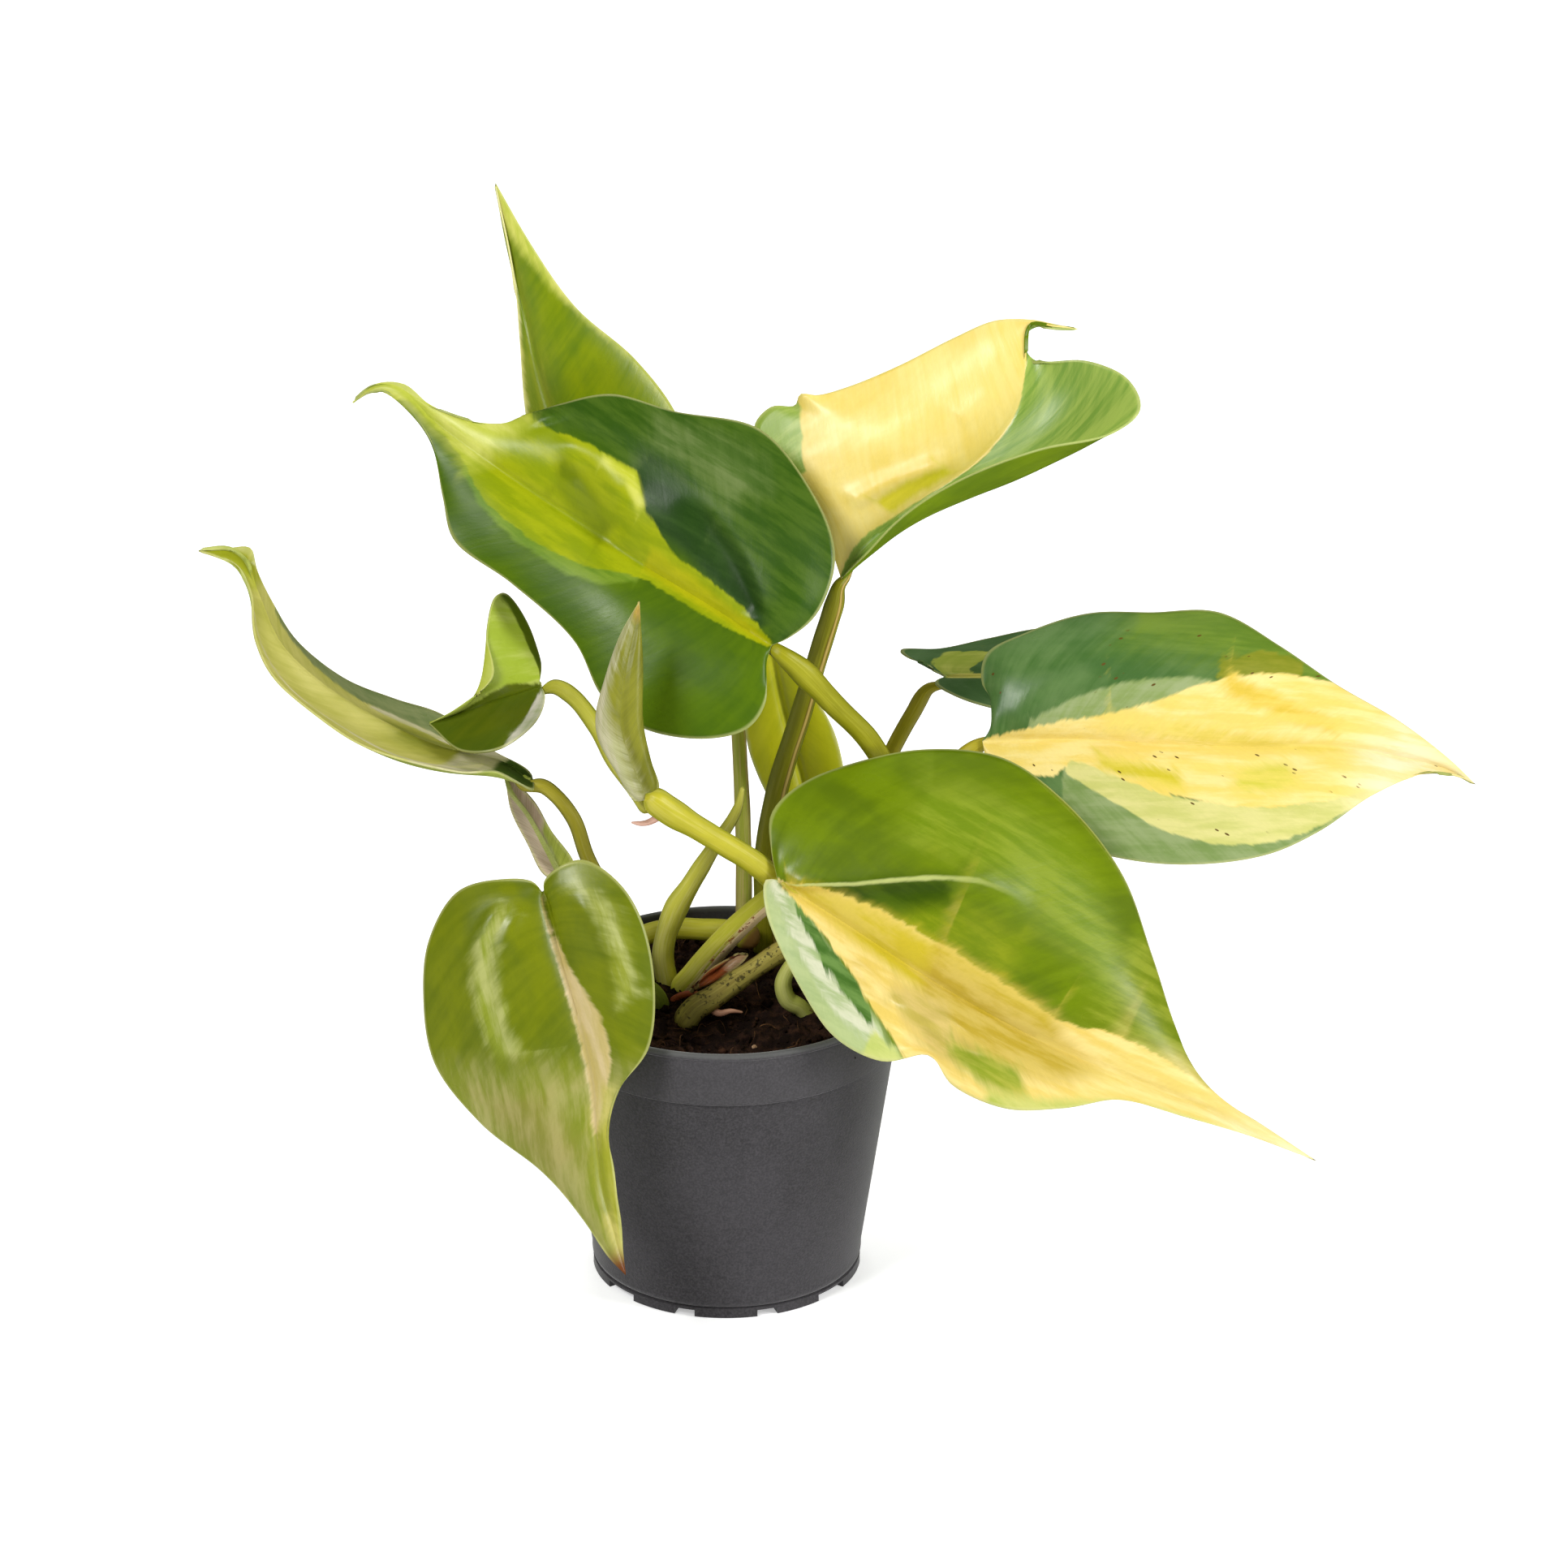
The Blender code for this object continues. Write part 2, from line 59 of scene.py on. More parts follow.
# ---- pot and soil ----------------------------------------------------------------------
RIM_RADIUS = 31.0
POT_HEIGHT = 54.5
WALL = 1.3
COLLAR_HEIGHT = 10.0
COLLAR_STEP, COLLAR_FLARE = 0.5, 0.7
BASE_RADIUS = 23.8
FOOT_RADIUS = 23.7
FOOT_WIDTH = 2.4
FOOT_HEIGHT = 2.0
NOTCH_HEIGHT = 1.3
PAD_RADIUS = 8.0
FLOOR_TOP = 3.2
NOTCHES = [(18, 9), (52, 17), (90, 9), (128, 17), (162, 9)]   # (angle from the front, width)
DRAIN_RADIUS, DRAIN_CIRCLE, DRAIN_COUNT = 2.0, 15.0, 6
SOIL_TOP = 52.3
SOIL_RADIUS = 29.3
SOIL_SKIN = 2.0
SEED = 7
CRUMBS, FIBRES = 700, 110
GRAINS = [(13.0, -22.5, 1.5), (9.5, -24.0, 0.5), (5.0, -20.0, 0.45), (-16.0, -16.0, 0.6)]

# ---- blades ----------------------------------------------------------------------------
# rib, left, right: the three curves, from the stalk to the tip
# bow: how far each half arches up, as a share of its width
# patches: colour areas between u = left(v) and u = right(v), given as (v, u) points; a few are painted shade
# or painted highlight, as marked where they stand
# folds: raised lines given as (u, v) points, with height and the reach to either side; pale marks the one
# fold whose crest gets a painted highlight
BLADE_THICK = 0.35
ACROSS, ALONG = 72, 120        # grid steps of a blade
RIB_EASE = 1.35                # above 1, rows of the grid lie closer together at the stalk
VEIN_GAP = 3.1
BLADES = {
    "leaf_front_right": dict(
        rib=[(9, -14, 80), (21, -17, 73), (36, -21, 64), (51, -24, 56), (67, -26, 49),
             (82, -27, 43), (93, -29, 38), (102, -30, 34)],
        left=[(9, -14, 80), (8, -11, 84), (8, -6, 89), (15, 0, 93), (33, 7, 95), (48, 9, 93),
              (59, 6, 86), (69, -2, 75), (74, -11, 64), (78, -19, 54), (82, -24, 46),
              (92, -27, 40), (102, -30, 34)],
        right=[(9, -14, 80), (7, -14, 80), (7, -18, 76), (13, -26, 65), (19, -31, 58),
               (27, -32, 54), (35, -30, 54), (39, -33, 50), (48, -34, 46), (58, -32, 45),
               (68, -29, 45), (79, -29, 42), (91, -29, 38), (102, -30, 34)],
        bow=(0.16, 0.10)),
    "leaf_middle_left": dict(
        rib=[(8, 2, 117), (-2, 7, 122), (-15, 13, 128), (-27, 19, 134), (-40, 25, 141),
             (-51, 32, 147), (-57, 35, 152), (-61, 36, 152), (-65, 35, 149)],
        left=[(8, 2, 117), (7, 0, 114), (7, -4, 109), (4, -6, 105), (-3, -6, 103), (-14, -4, 104),
              (-21, 0, 108), (-26, 6, 116), (-37, 13, 124), (-47, 18, 130), (-49, 23, 136),
              (-51, 29, 144), (-55, 33, 148), (-59, 35, 151), (-62, 35, 151), (-65, 35, 149)],
        right=[(8, 2, 117), (11, 3, 118), (16, 5, 122), (19, 10, 130), (15, 18, 139), (6, 25, 148),
               (-9, 28, 150), (-20, 31, 152), (-29, 31, 150), (-36, 30, 147), (-43, 30, 147),
               (-51, 33, 149), (-56, 36, 152), (-61, 36, 152), (-65, 35, 149)],
        bow=(0.10, 0.14)),
    "leaf_yellow": dict(
        rib=[(20, 20, 122), (24, 22, 127), (33, 24, 134), (44, 26, 142), (50, 29, 149),
             (52, 32, 156), (53, 36, 163), (57, 35, 163), (61, 34, 163)],
        left=[(20, 20, 122), (19, 22, 125), (18, 25, 130), (13, 30, 137), (6, 34, 140),
              (5, 37, 144), (8, 38, 147), (12, 37.4, 147.4), (13, 36.8, 149.8), (16, 36.8, 149.6),
              (21, 37, 151), (30, 37, 155), (40, 38, 160), (47, 38, 163), (53, 37, 163.6),
              (57, 35.4, 163.4), (61, 34, 163)],
        right=[(20, 20, 122), (23, 19, 126), (30, 18, 134), (40, 16, 142), (54, 13, 149),
               (66, 13, 152), (71, 16, 155), (69, 24, 158), (62, 29, 159), (56, 31.5, 157.6),
               (52.2, 34.2, 156.6), (50.2, 36.8, 158.2), (50.4, 37.8, 161), (53, 37.2, 162.6),
               (57, 35, 162.8), (61, 34, 163)],
        bow=(0.06, -0.10)),
    "leaf_right": dict(
        rib=[(45, 25, 89), (61, 26, 89), (76, 26, 88), (92, 27, 87), (107, 27, 87), (119, 27, 85),
             (127, 26, 83), (132, 24, 81)],
        left=[(45, 25, 89), (47, 28, 91), (47, 30, 94), (45, 32, 97), (46, 36, 101), (53, 39, 104),
              (64, 42, 106), (75, 43, 106), (87, 43, 106), (98, 39, 101), (108, 35, 95),
              (119, 31, 90), (127, 27, 85), (132, 24, 81)],
        right=[(45, 25, 89), (46, 22, 85), (49, 18, 81), (58, 14, 75), (70, 12, 72), (82, 12, 71),
               (95, 14, 72), (104, 17, 75), (114, 22, 80), (124, 25, 83), (129, 25, 82),
               (132, 24, 81)],
        bow=(0.20, 0.08)),
    "leaf_lower_left": dict(
        rib=[(-31, -20, 80), (-28, -25, 70), (-24.5, -30, 59), (-22.5, -34, 50), (-22, -37, 42),
             (-21, -40, 34), (-19, -43.5, 27), (-17, -46, 20)],
        left=[(-31, -20, 80), (-31, -19, 82), (-28, -19, 85), (-24, -19, 86), (-18, -22, 83),
              (-14, -25, 77), (-12, -29, 67), (-13, -33, 57), (-18, -35, 50), (-20, -37, 43),
              (-19, -39, 37), (-18, -43, 29), (-17, -46, 20)],
        right=[(-31, -20, 80), (-33, -19, 82), (-38, -18, 82), (-46, -17, 79), (-51, -19, 71),
               (-52, -22, 62), (-50, -27, 51), (-42, -32, 42), (-32, -37, 36), (-24, -42, 28),
               (-20, -45, 23), (-17, -46, 20)],
        bow=(0.12, 0.16)),
    "leaf_back_left": dict(
        rib=[(-18, 33, 125), (-27, 36, 137), (-32, 39, 150), (-35, 43, 162), (-38, 47, 174),
             (-40, 50, 184)],
        left=[(-18, 33, 125), (-21, 32, 121), (-27, 32, 123), (-33, 35, 135), (-35, 38, 146),
              (-36, 42, 158), (-37, 45, 170), (-40, 50, 184)],
        right=[(-18, 33, 125), (-15, 32, 120), (-8, 34, 124), (-5, 38, 135), (-9, 41, 145),
               (-16, 43, 154), (-26, 44, 163), (-34, 47, 174), (-40, 50, 184)],
        bow=(0.05, 0.10)),
    "leaf_far_left": dict(
        rib=[(-33, -8, 96), (-38, -6, 99), (-49, -4, 101), (-59, 0, 104), (-69, 6, 108),
             (-77, 13, 113), (-81, 20, 119), (-84, 27, 123), (-87, 29, 124), (-92, 28, 124)],
        left=[(-33, -8, 96), (-33, -14, 97), (-39, -17, 102), (-45, -22, 104), (-55, -23, 107),
              (-65, -17, 109), (-76, -6, 113), (-81, 7, 116), (-82, 17, 120), (-85, 25, 122),
              (-88, 27, 123), (-92, 28, 124)],
        right=[(-33, -8, 96), (-34, -1, 95), (-41, 8, 95), (-50, 19, 97), (-58, 23, 98),
               (-67, 25, 101), (-75, 27, 107), (-79, 27, 114), (-82, 28, 120), (-83, 29, 124),
               (-87, 29, 124), (-92, 28, 124)],
        bow=(-0.10, -0.10)),
    "leaf_small_folded": dict(
        rib=[(-32, 4, 109), (-36, 3, 108), (-41, 1, 107), (-46, 0, 105), (-51, -2, 104)],
        left=[(-32, 4, 109), (-31, 0, 108), (-33, -7, 106), (-39, -13, 104), (-45, -11, 103),
              (-51, -2, 104)],
        right=[(-32, 4, 109), (-32, 10, 111), (-34, 16, 115), (-38, 20, 119), (-40, 16, 120),
               (-41, 8, 116), (-40, 2, 111), (-45, 0, 107), (-51, -2, 104)],
        bow=(0.05, 0.05)),
    "leaf_behind_stalks": dict(
        rib=[(8, 32, 102.5), (10, 31, 92.5), (13, 29, 81), (16, 26, 70), (20, 23, 61)],
        left=[(8, 32, 102.5), (11, 32, 102.5), (15, 31, 96), (19, 30, 88.5), (21, 28, 80),
              (22, 25, 70), (20, 23, 61)],
        right=[(8, 32, 102.5), (6, 32, 102.5), (3.5, 31, 96), (3.5, 29.5, 87.5), (5.5, 28, 81),
               (10, 26, 73), (20, 23, 61)],
        bow=(0.10, 0.10)),
    "leaf_back_right": dict(
        rib=[(39, 47, 92), (46, 47, 92), (55, 46, 92), (65, 45, 91), (73, 44, 90)],
        left=[(39, 47, 92), (35, 52, 92), (31, 56, 93), (38, 62, 91), (47, 67, 91), (59, 69, 92),
              (68, 61, 93), (73, 44, 90)],
        right=[(39, 47, 92), (37, 44, 92), (40, 39, 92), (47, 33, 92), (57, 31, 91), (65, 35, 91),
               (73, 44, 90)],
        bow=(0.00, 0.00)),
    "sheath_green": dict(
        rib=[(-13, -18.5, 97), (-15.5, -17.5, 103), (-17.5, -16, 110), (-17, -13, 118),
             (-15.5, -9, 124), (-14.5, -6.5, 129)],
        left=[(-13, -18.5, 97), (-15.5, -17.5, 96.5), (-18.5, -16, 101), (-21.5, -14, 106),
              (-22, -13, 110), (-20.5, -11, 116), (-18, -8, 123), (-14.5, -6.5, 129)],
        right=[(-13, -18.5, 97), (-11.2, -17, 98.5), (-12.5, -15, 103), (-13.8, -13, 109),
               (-14, -10, 116), (-14.2, -8, 122), (-14.5, -6.5, 129)],
        bow=(0.30, 0.30)),
    "sheath_dry": dict(
        rib=[(-28, -12, 79), (-31, -11, 85), (-34, -9, 90), (-37, -8, 94), (-38, -6, 97)],
        left=[(-28, -12, 79), (-31, -12, 80), (-34, -10, 85), (-37, -8, 91), (-38, -6, 97)],
        right=[(-28, -12, 79), (-26, -11, 81), (-30, -9, 87), (-33, -8, 92), (-38, -6, 97)],
        bow=(-0.20, -0.20)),
    "stem_scale": dict(
        rib=[(-6, -8, 56), (-3, -7, 58), (-1, -5, 59), (2, -4, 61), (4, -4, 61)],
        left=[(-6, -8, 56), (-3, -6, 59), (-1, -5, 60), (2, -4, 61), (4, -4, 61)],
        right=[(-6, -8, 56), (-2, -7, 57), (0, -6, 58), (3, -5, 60), (4, -4, 61)],
        bow=(0.20, 0.20)),
}

# ---- colouring of each blade -------------------------------------------------------------
LEFT_MARGIN = [(0, -1.3), (1, -1.3)]
RIGHT_MARGIN = [(0, 1.3), (1, 1.3)]


def area(tone, other_tone, soft, jag, left=LEFT_MARGIN, right=RIGHT_MARGIN, streak=0.0):
    """A colour area with a soft or ragged border; it doesn't show where left is beyond right."""
    return dict(colour=(tone, other_tone), soft=soft, jag=jag, left=left, right=right, streak=streak)


LOOKS = {
    "leaf_front_right": dict(
        base=((108, 130, 8), (88, 110, 2)), under=OLIVE, slot="leaf_green", seed=1, shine=0.28,
        patches=[
            area(*OLIVE, 3.0, 1.5, left=[(0.0, 2), (0.56, 2), (0.66, -1.2), (1, -1.2)], right=[(0.0, -0.1),
                 (1, -0.1)]),
            # painted highlight: a soft, broad light-green sheen over the upper half
            area((132, 150, 36), (110, 134, 18), 5.0, 3.0, left=[(0, 2), (0.16, 2), (0.3, -0.78),
                 (0.5, -0.84), (0.64, -0.7), (0.74, 2), (1, 2)], right=[(0.16, -0.5), (0.3, -0.44),
                 (0.5, -0.46), (0.64, -0.4), (1, -0.4)]),
            area((134, 146, 20), (110, 130, 6), 4.0, 2.0, left=[(0, 2), (0.24, 2), (0.34, -0.26), (0.5, -0.3),
                 (0.62, 2), (1, 2)], right=[(0.24, -0.12), (0.5, -0.14), (1, -0.14)]),
            # painted shade: the dark green wedge below the fold's crest, between it and the cream
            area((68, 92, 4), (54, 78, 2), 2.0, 0.5, left=[(0.0, 2), (0.05, -0.04), (0.1, -0.12), (0.2, -0.2),
                 (0.33, -0.34), (0.38, -0.38), (0.46, 2), (1, 2)], right=[(0, 0.1), (0.14, -0.02),
                 (0.22, -0.08), (0.33, -0.18), (0.42, -0.34), (0.5, -0.54), (1, -0.7)]),
            area((160, 178, 118), (176, 190, 130), 0.8, 1.0, left=[(0.0, 0.1), (0.12, 0.2), (0.2, 0.35),
                 (0.27, 0.5), (0.33, 0.72), (0.42, 1.4)], right=[(0.0, 1.4), (1, 1.4)]),
            area((208, 210, 178), (160, 178, 122), 0.8, 1.8, left=[(0, 0.1), (0.1, 0.26), (0.2, 0.5),
                 (0.27, 0.62), (0.33, 0.76), (0.38, 1.4)], right=[(0, 0.7), (0.1, 0.68), (0.2, 0.82),
                 (0.27, 0.86), (0.33, 0.94), (1, 0.95)]),
            area((66, 104, 34), (104, 138, 66), 0.5, 1.8, left=[(0, 2), (0.06, 2), (0.1, 0.2), (0.2, 0.34),
                 (0.27, 0.46), (0.31, 0.6), (0.34, 2), (1, 2)], right=[(0, 0.22), (0.1, 0.3), (0.2, 0.57),
                 (0.27, 0.68), (0.33, 0.8), (1, 0.9)]),
            area((198, 204, 120), (180, 192, 100), 0.6, 1.2, left=[(0.0, 2), (0.28, 2), (0.32, 0.8),
                 (0.36, 0.9), (0.4, 1.3)], right=[(0.0, 1.4), (1, 1.4)]),
            area((236, 212, 132), (222, 194, 96), 0.35, 1.15, left=[(0.0, -0.04), (0.06, -0.08),
                 (0.15, -0.13), (0.62, -0.13), (0.66, -0.2), (0.72, -0.32), (0.78, -0.42), (0.83, -0.55),
                 (0.88, -1.1), (1, -1.2)], right=[(0.0, 0.06), (0.05, 0.12), (0.1, 0.2), (0.2, 0.34),
                 (0.27, 0.46), (0.31, 0.64), (0.36, 0.85), (0.42, 1.4), (1, 1.4)]),
            area((198, 178, 44), (208, 186, 76), 1.8, 1.2, left=[(0, 2), (0.03, 2), (0.06, -0.12),
                 (0.6, -0.13), (0.66, 2), (1, 2)], right=[(0.04, 0.02), (0.2, 0.1), (0.4, 0.2), (0.55, 0.12),
                 (0.64, -0.1), (1, -0.1)]),
            area((184, 158, 46), (202, 178, 84), 3.0, 1.5, left=[(0, 2), (0.34, 2), (0.4, -0.1), (0.6, -0.12),
                 (0.7, 0.1), (0.76, 2), (1, 2)], right=[(0.3, 0.1), (0.4, 0.44), (0.5, 0.62), (0.62, 0.62),
                 (0.7, 0.4), (1, 0.4)]),
            area((186, 168, 76), (206, 182, 104), 2.0, 1.5, left=[(0, 2), (0.28, 2), (0.34, 0.3), (0.44, 0.2),
                 (0.52, 2), (1, 2)], right=[(0.34, 0.5), (0.42, 0.86), (0.5, 0.8), (1, 0.8)]),
            area((134, 150, 34), (166, 168, 62), 1.6, 1.4, left=[(0, 2), (0.42, 2), (0.45, 0.6), (0.5, 0.5),
                 (0.56, 0.56), (0.62, 2), (1, 2)], right=[(0.44, 0.76), (0.5, 0.84), (0.6, 0.9), (1, 0.9)]),
            area((172, 182, 80), (198, 198, 110), 1.2, 0.8, left=[(0.0, 2), (0.46, 2), (0.52, 0.88),
                 (0.7, 0.86), (0.85, 0.8), (0.97, 1.2)], right=[(0.0, 2), (1, 2)]),
            area((234, 214, 134), (224, 200, 106), 4.0, 1.0, left=[(0, 2), (0.62, 2), (0.7, -0.2),
                 (0.75, -0.3), (0.86, -1), (1, -1.2)], right=[(0.6, 0.5), (0.7, 0.8), (0.85, 0.84),
                 (0.95, 1.2), (1, 1.2)]),
            area((244, 234, 190), (236, 222, 156), 6.0, 1.0, left=[(0, 2), (0.84, 2), (0.93, -1.2),
                 (1, -1.2)]),
        ],
        folds=[
            # this fold's crest gets a painted highlight (pale=True)
            dict(line=[(-0.02, 0.03), (-0.12, 0.12), (-0.2, 0.22), (-0.31, 0.32), (-0.41, 0.41),
                       (-0.48, 0.5)], height=1.7, near=1.1, far=5.5, pale=True),
            dict(line=[(0.3, 0.26), (0.44, 0.30), (0.56, 0.36)], height=0.9, near=2.0, far=2.6),
            dict(line=[(0.30, 0.46), (0.5, 0.42), (0.66, 0.40)], height=0.7, near=2.2, far=2.6),
            dict(line=[(0.98, 0.37), (0.7, 0.44), (0.45, 0.5)], height=-1.3, near=3.0, far=3.6),
        ]),
    "leaf_middle_left": dict(
        base=DARK, under=GREEN, slot="leaf_dark", seed=2, shine=0.2,
        patches=[
            area((72, 100, 26), (50, 82, 14), 3.0, 2.0, left=[(0.0, 0.1), (0.45, 0.3), (0.7, 0.8), (1, 1)],
                 right=[(0.0, 1.4), (1, 1.4)]),
            area((120, 146, 40), (98, 130, 26), 0.5, 0.7, left=[(0.0, 2), (0.36, 2), (0.4, -0.14),
                 (0.46, -0.4), (0.52, -0.55), (0.62, -0.58), (0.7, -0.53), (0.76, -0.42), (0.8, 2), (1, 2)],
                 right=[(0, 0), (1, 0)]),
            area((48, 76, 26), (36, 64, 18), 1.6, 1.0, left=[(0.0, 2), (0.06, 2), (0.1, 0.04), (0.45, 0.2),
                 (0.5, 0.3), (0.56, 2), (1, 2)], right=[(0.06, 0.2), (0.2, 0.36), (0.35, 0.44), (0.5, 0.66),
                 (1, 0.8)]),
            # painted sheen: a soft grey-green reflection on the dark upper half
            area((108, 126, 70), (80, 106, 42), 4.0, 3.0, left=[(0.0, 2), (0.22, 2), (0.34, 0.56), (0.5, 0.7),
                 (0.6, 2), (1, 2)], right=[(0.22, 0.72), (0.4, 0.84), (0.5, 0.88), (1, 0.9)]),
            area(*LIME, 0.3, 0.7, left=[(0.0, -0.16), (0.06, -0.12), (0.1, -0.1), (0.38, -0.09),
                 (0.42, -0.14), (0.46, -0.24), (0.5, -0.36), (0.57, -0.45), (0.65, -0.47), (0.72, -0.43),
                 (0.76, -0.3), (0.82, -0.2), (0.86, -0.16), (0.9, -0.3), (0.93, -0.9), (1, -1.2)],
                 right=[(0.0, 0.1), (0.1, 0.12), (0.35, 0.13), (0.4, 0.18), (0.45, 0.28), (0.5, 0.48),
                 (0.55, 0.52), (0.6, 0.56), (0.66, 0.64), (0.7, 0.8), (0.73, 1.2), (1, 1.2)]),
            area((178, 176, 16), (164, 166, 8), 0.9, 0.8, left=[(0.0, -0.06), (0.4, -0.04), (0.5, 2), (1, 2)],
                 right=[(0.0, 0.04), (0.4, 0.1), (1, 0.1)]),
            area((206, 208, 92), (186, 192, 44), 0.8, 0.5, left=[(0.0, 2), (0.42, 2), (0.46, 0.24),
                 (0.51, 0.4), (0.56, 0.44), (0.62, 2), (1, 2)], right=[(0.4, 0.16), (0.45, 0.27), (0.5, 0.47),
                 (0.55, 0.51), (1, 0.56)]),
            # painted shade: a darker green valley across the lime band
            area((104, 120, 4), (120, 134, 6), 1.6, 0.6, left=[(0.0, 2), (0.46, 2), (0.5, -0.06),
                 (0.56, 0.04), (0.62, 0.14), (0.68, 2), (1, 2)], right=[(0.48, 0.06), (0.55, 0.22),
                 (0.62, 0.4), (1, 0.4)]),
            area((208, 210, 108), (188, 196, 72), 3.0, 1.2, left=[(0.0, 2), (0.66, 2), (0.76, -0.3),
                 (0.82, -0.2), (0.9, -0.5), (1, -1.2)], right=[(0.0, 2), (0.68, 0.5), (0.76, 1.2), (1, 1.2)]),
        ],
        folds=[
            dict(line=[(0.02, 0.46), (0.2, 0.55), (0.36, 0.62)], height=-0.9, near=2.6, far=3.2),
            dict(line=[(0.30, 0.48), (0.48, 0.56), (0.56, 0.66)], height=0.8, near=2.6, far=2.6),
            dict(line=[(0.75, 0.66), (0.9, 0.70), (1.0, 0.74)], height=0.9, near=2.6, far=2.6),
            dict(line=[(0.16, 0.12), (0.3, 0.26), (0.44, 0.42)], height=-1.2, near=1.6, far=3.0),
        ]),
    "leaf_yellow": dict(
        base=((246, 224, 132), (238, 210, 98)), under=((110, 134, 16), (92, 118, 8)),
        slot="leaf_cream", seed=3,
        patches=[
            area((162, 186, 84), (124, 160, 62), 0.25, 0.5, streak=0.5, left=[(0.0, -0.2), (0.1, -0.12),
                 (0.3, -0.03), (0.6, 0.02), (0.8, 0.02), (1, 0.3)], right=[(0, 1.4), (1, 1.4)]),
            area((178, 196, 100), (146, 174, 66), 0.3, 0.5, left=[(0, -1.4), (1, -1.4)], right=[(0.0, -1.2),
                 (0.2, -0.9), (0.3, -0.66), (0.38, -0.76), (0.44, -0.95), (0.47, -1.2), (1, -2)]),
            # painted shade: a deeper yellow band below the raised crease
            area((222, 208, 48), (214, 200, 40), 0.9, 0.8, left=[(0.0, 2), (0.28, 2), (0.33, -0.17),
                 (0.42, -0.15), (0.52, -0.1), (0.56, 2), (1, 2)], right=[(0.0, -0.05), (0.4, -0.05),
                 (0.55, -0.03), (1, 0)]),
        ],
        folds=[
            dict(line=[(-0.3, 0.26), (-0.22, 0.36), (-0.16, 0.46), (-0.1, 0.58)], height=0.9, near=1.2,
                 far=2.4),
            dict(line=[(-0.3, 0.62), (-0.26, 0.74)], height=0.35, near=2.4, far=3.4),
        ]),
    "leaf_right": dict(
        base=((98, 128, 72), (66, 104, 44)), under=OLIVE, slot="leaf_cream", seed=4,
        patches=[
            area((112, 138, 44), (92, 122, 34), 6.0, 4.0, left=[(0, 2), (0.3, 2), (0.4, -1.3), (1, -1.3)],
                 right=[(0.3, -0.9), (0.4, -0.7), (0.5, -0.6), (0.6, -0.56), (1, -0.5)]),
            area((156, 170, 118), (136, 156, 88), 0.5, 1.2, streak=0.5, left=[(0.0, 2), (0.14, 2),
                 (0.18, -0.16), (0.3, -0.3), (0.4, -0.4), (0.46, -0.43), (0.54, -0.45), (1, -0.6)],
                 right=[(0, 0), (1, 0)]),
            area((140, 142, 40), (120, 130, 24), 0.5, 1.5, left=[(0.0, 2), (0.5, 2), (0.54, -0.6),
                 (0.6, -0.82), (0.68, -1.0), (0.74, 2), (1, 2)], right=[(0.5, -0.4), (0.6, -0.5), (0.7, -0.6),
                 (1, -1)]),
            area((146, 162, 108), (120, 144, 78), 0.5, 1.0, streak=0.4, left=[(0.0, 2), (0.2, 2), (0.25, 0.3),
                 (0.4, 0.6), (0.6, 0.8), (1, 0.9)], right=[(0, 1.4), (1, 1.4)]),
            area((216, 210, 134), (198, 198, 112), 0.3, 0.8, left=[(0.0, 2), (0.22, 2), (0.26, 0.12),
                 (0.32, 0.2), (0.42, 0.4), (0.5, 0.5), (1, 0.5)], right=[(0.0, 0.3), (0.25, 0.34),
                 (0.3, 0.46), (0.36, 0.58), (0.42, 0.74), (0.5, 0.85), (0.6, 0.92), (0.75, 0.98), (0.85, 1.3),
                 (1, 1.3)]),
            area((242, 220, 140), (236, 208, 106), 0.35, 1.0, left=[(0.0, -0.1), (0.1, -0.08), (0.3, -0.13),
                 (0.4, -0.2), (0.48, -0.33), (0.54, -0.45), (0.58, -0.54), (0.63, -0.68), (0.7, -0.86),
                 (0.75, -1.1), (1, -1.3)], right=[(0.0, 1.3), (0.05, 1.1), (0.1, 0.6), (0.15, 0.5),
                 (0.23, 0.4), (0.27, 0.22), (0.33, 0.28), (0.42, 0.42), (0.5, 0.5), (0.6, 0.6), (0.7, 0.7),
                 (0.8, 0.86), (0.9, 1.3), (1, 1.3)]),
            area((206, 190, 46), (224, 204, 84), 1.4, 2.0, left=[(0.0, 2), (0.29, 2), (0.33, 0.18),
                 (0.4, 0.18), (0.48, 0.28), (0.52, 2), (1, 2)], right=[(0.3, 0.22), (0.38, 0.32),
                 (0.46, 0.42), (1, 0.46)]),
            area((222, 200, 84), (236, 214, 110), 1.6, 2.4, left=[(0.0, 2), (0.3, 2), (0.36, -0.14),
                 (0.5, -0.14), (0.65, -0.1), (0.8, 0.0), (0.88, 2), (1, 2)], right=[(0.36, -0.08),
                 (0.5, -0.02), (0.65, 0.06), (0.8, 0.16), (1, 0.2)]),
            area((218, 188, 66), (232, 204, 96), 1.4, 2.0, left=[(0.0, 2), (0.5, 2), (0.56, -0.52),
                 (0.66, -0.5), (0.76, -0.36), (0.82, 2), (1, 2)], right=[(0.54, -0.4), (0.65, -0.3),
                 (0.78, -0.2), (1, -0.2)]),
            area((208, 200, 70), (226, 210, 96), 2.0, 2.0, left=[(0.0, 2), (0.52, 2), (0.58, 0.26),
                 (0.68, 0.2), (0.74, 2), (1, 2)], right=[(0.54, 0.42), (0.65, 0.5), (1, 0.5)]),
            area((240, 228, 184), (236, 216, 148), 5.0, 1.0, left=[(0.0, 2), (0.74, 2), (0.86, -1.2),
                 (1, -1.2)]),
        ],
        folds=[
            dict(line=[(-0.1, 0.12), (-0.45, 0.26), (-0.7, 0.4)], height=0.7, near=2.4, far=4.0),
            dict(line=[(0.1, 0.3), (0.16, 0.5), (0.1, 0.75)], height=0.5, near=1.6, far=2.4),
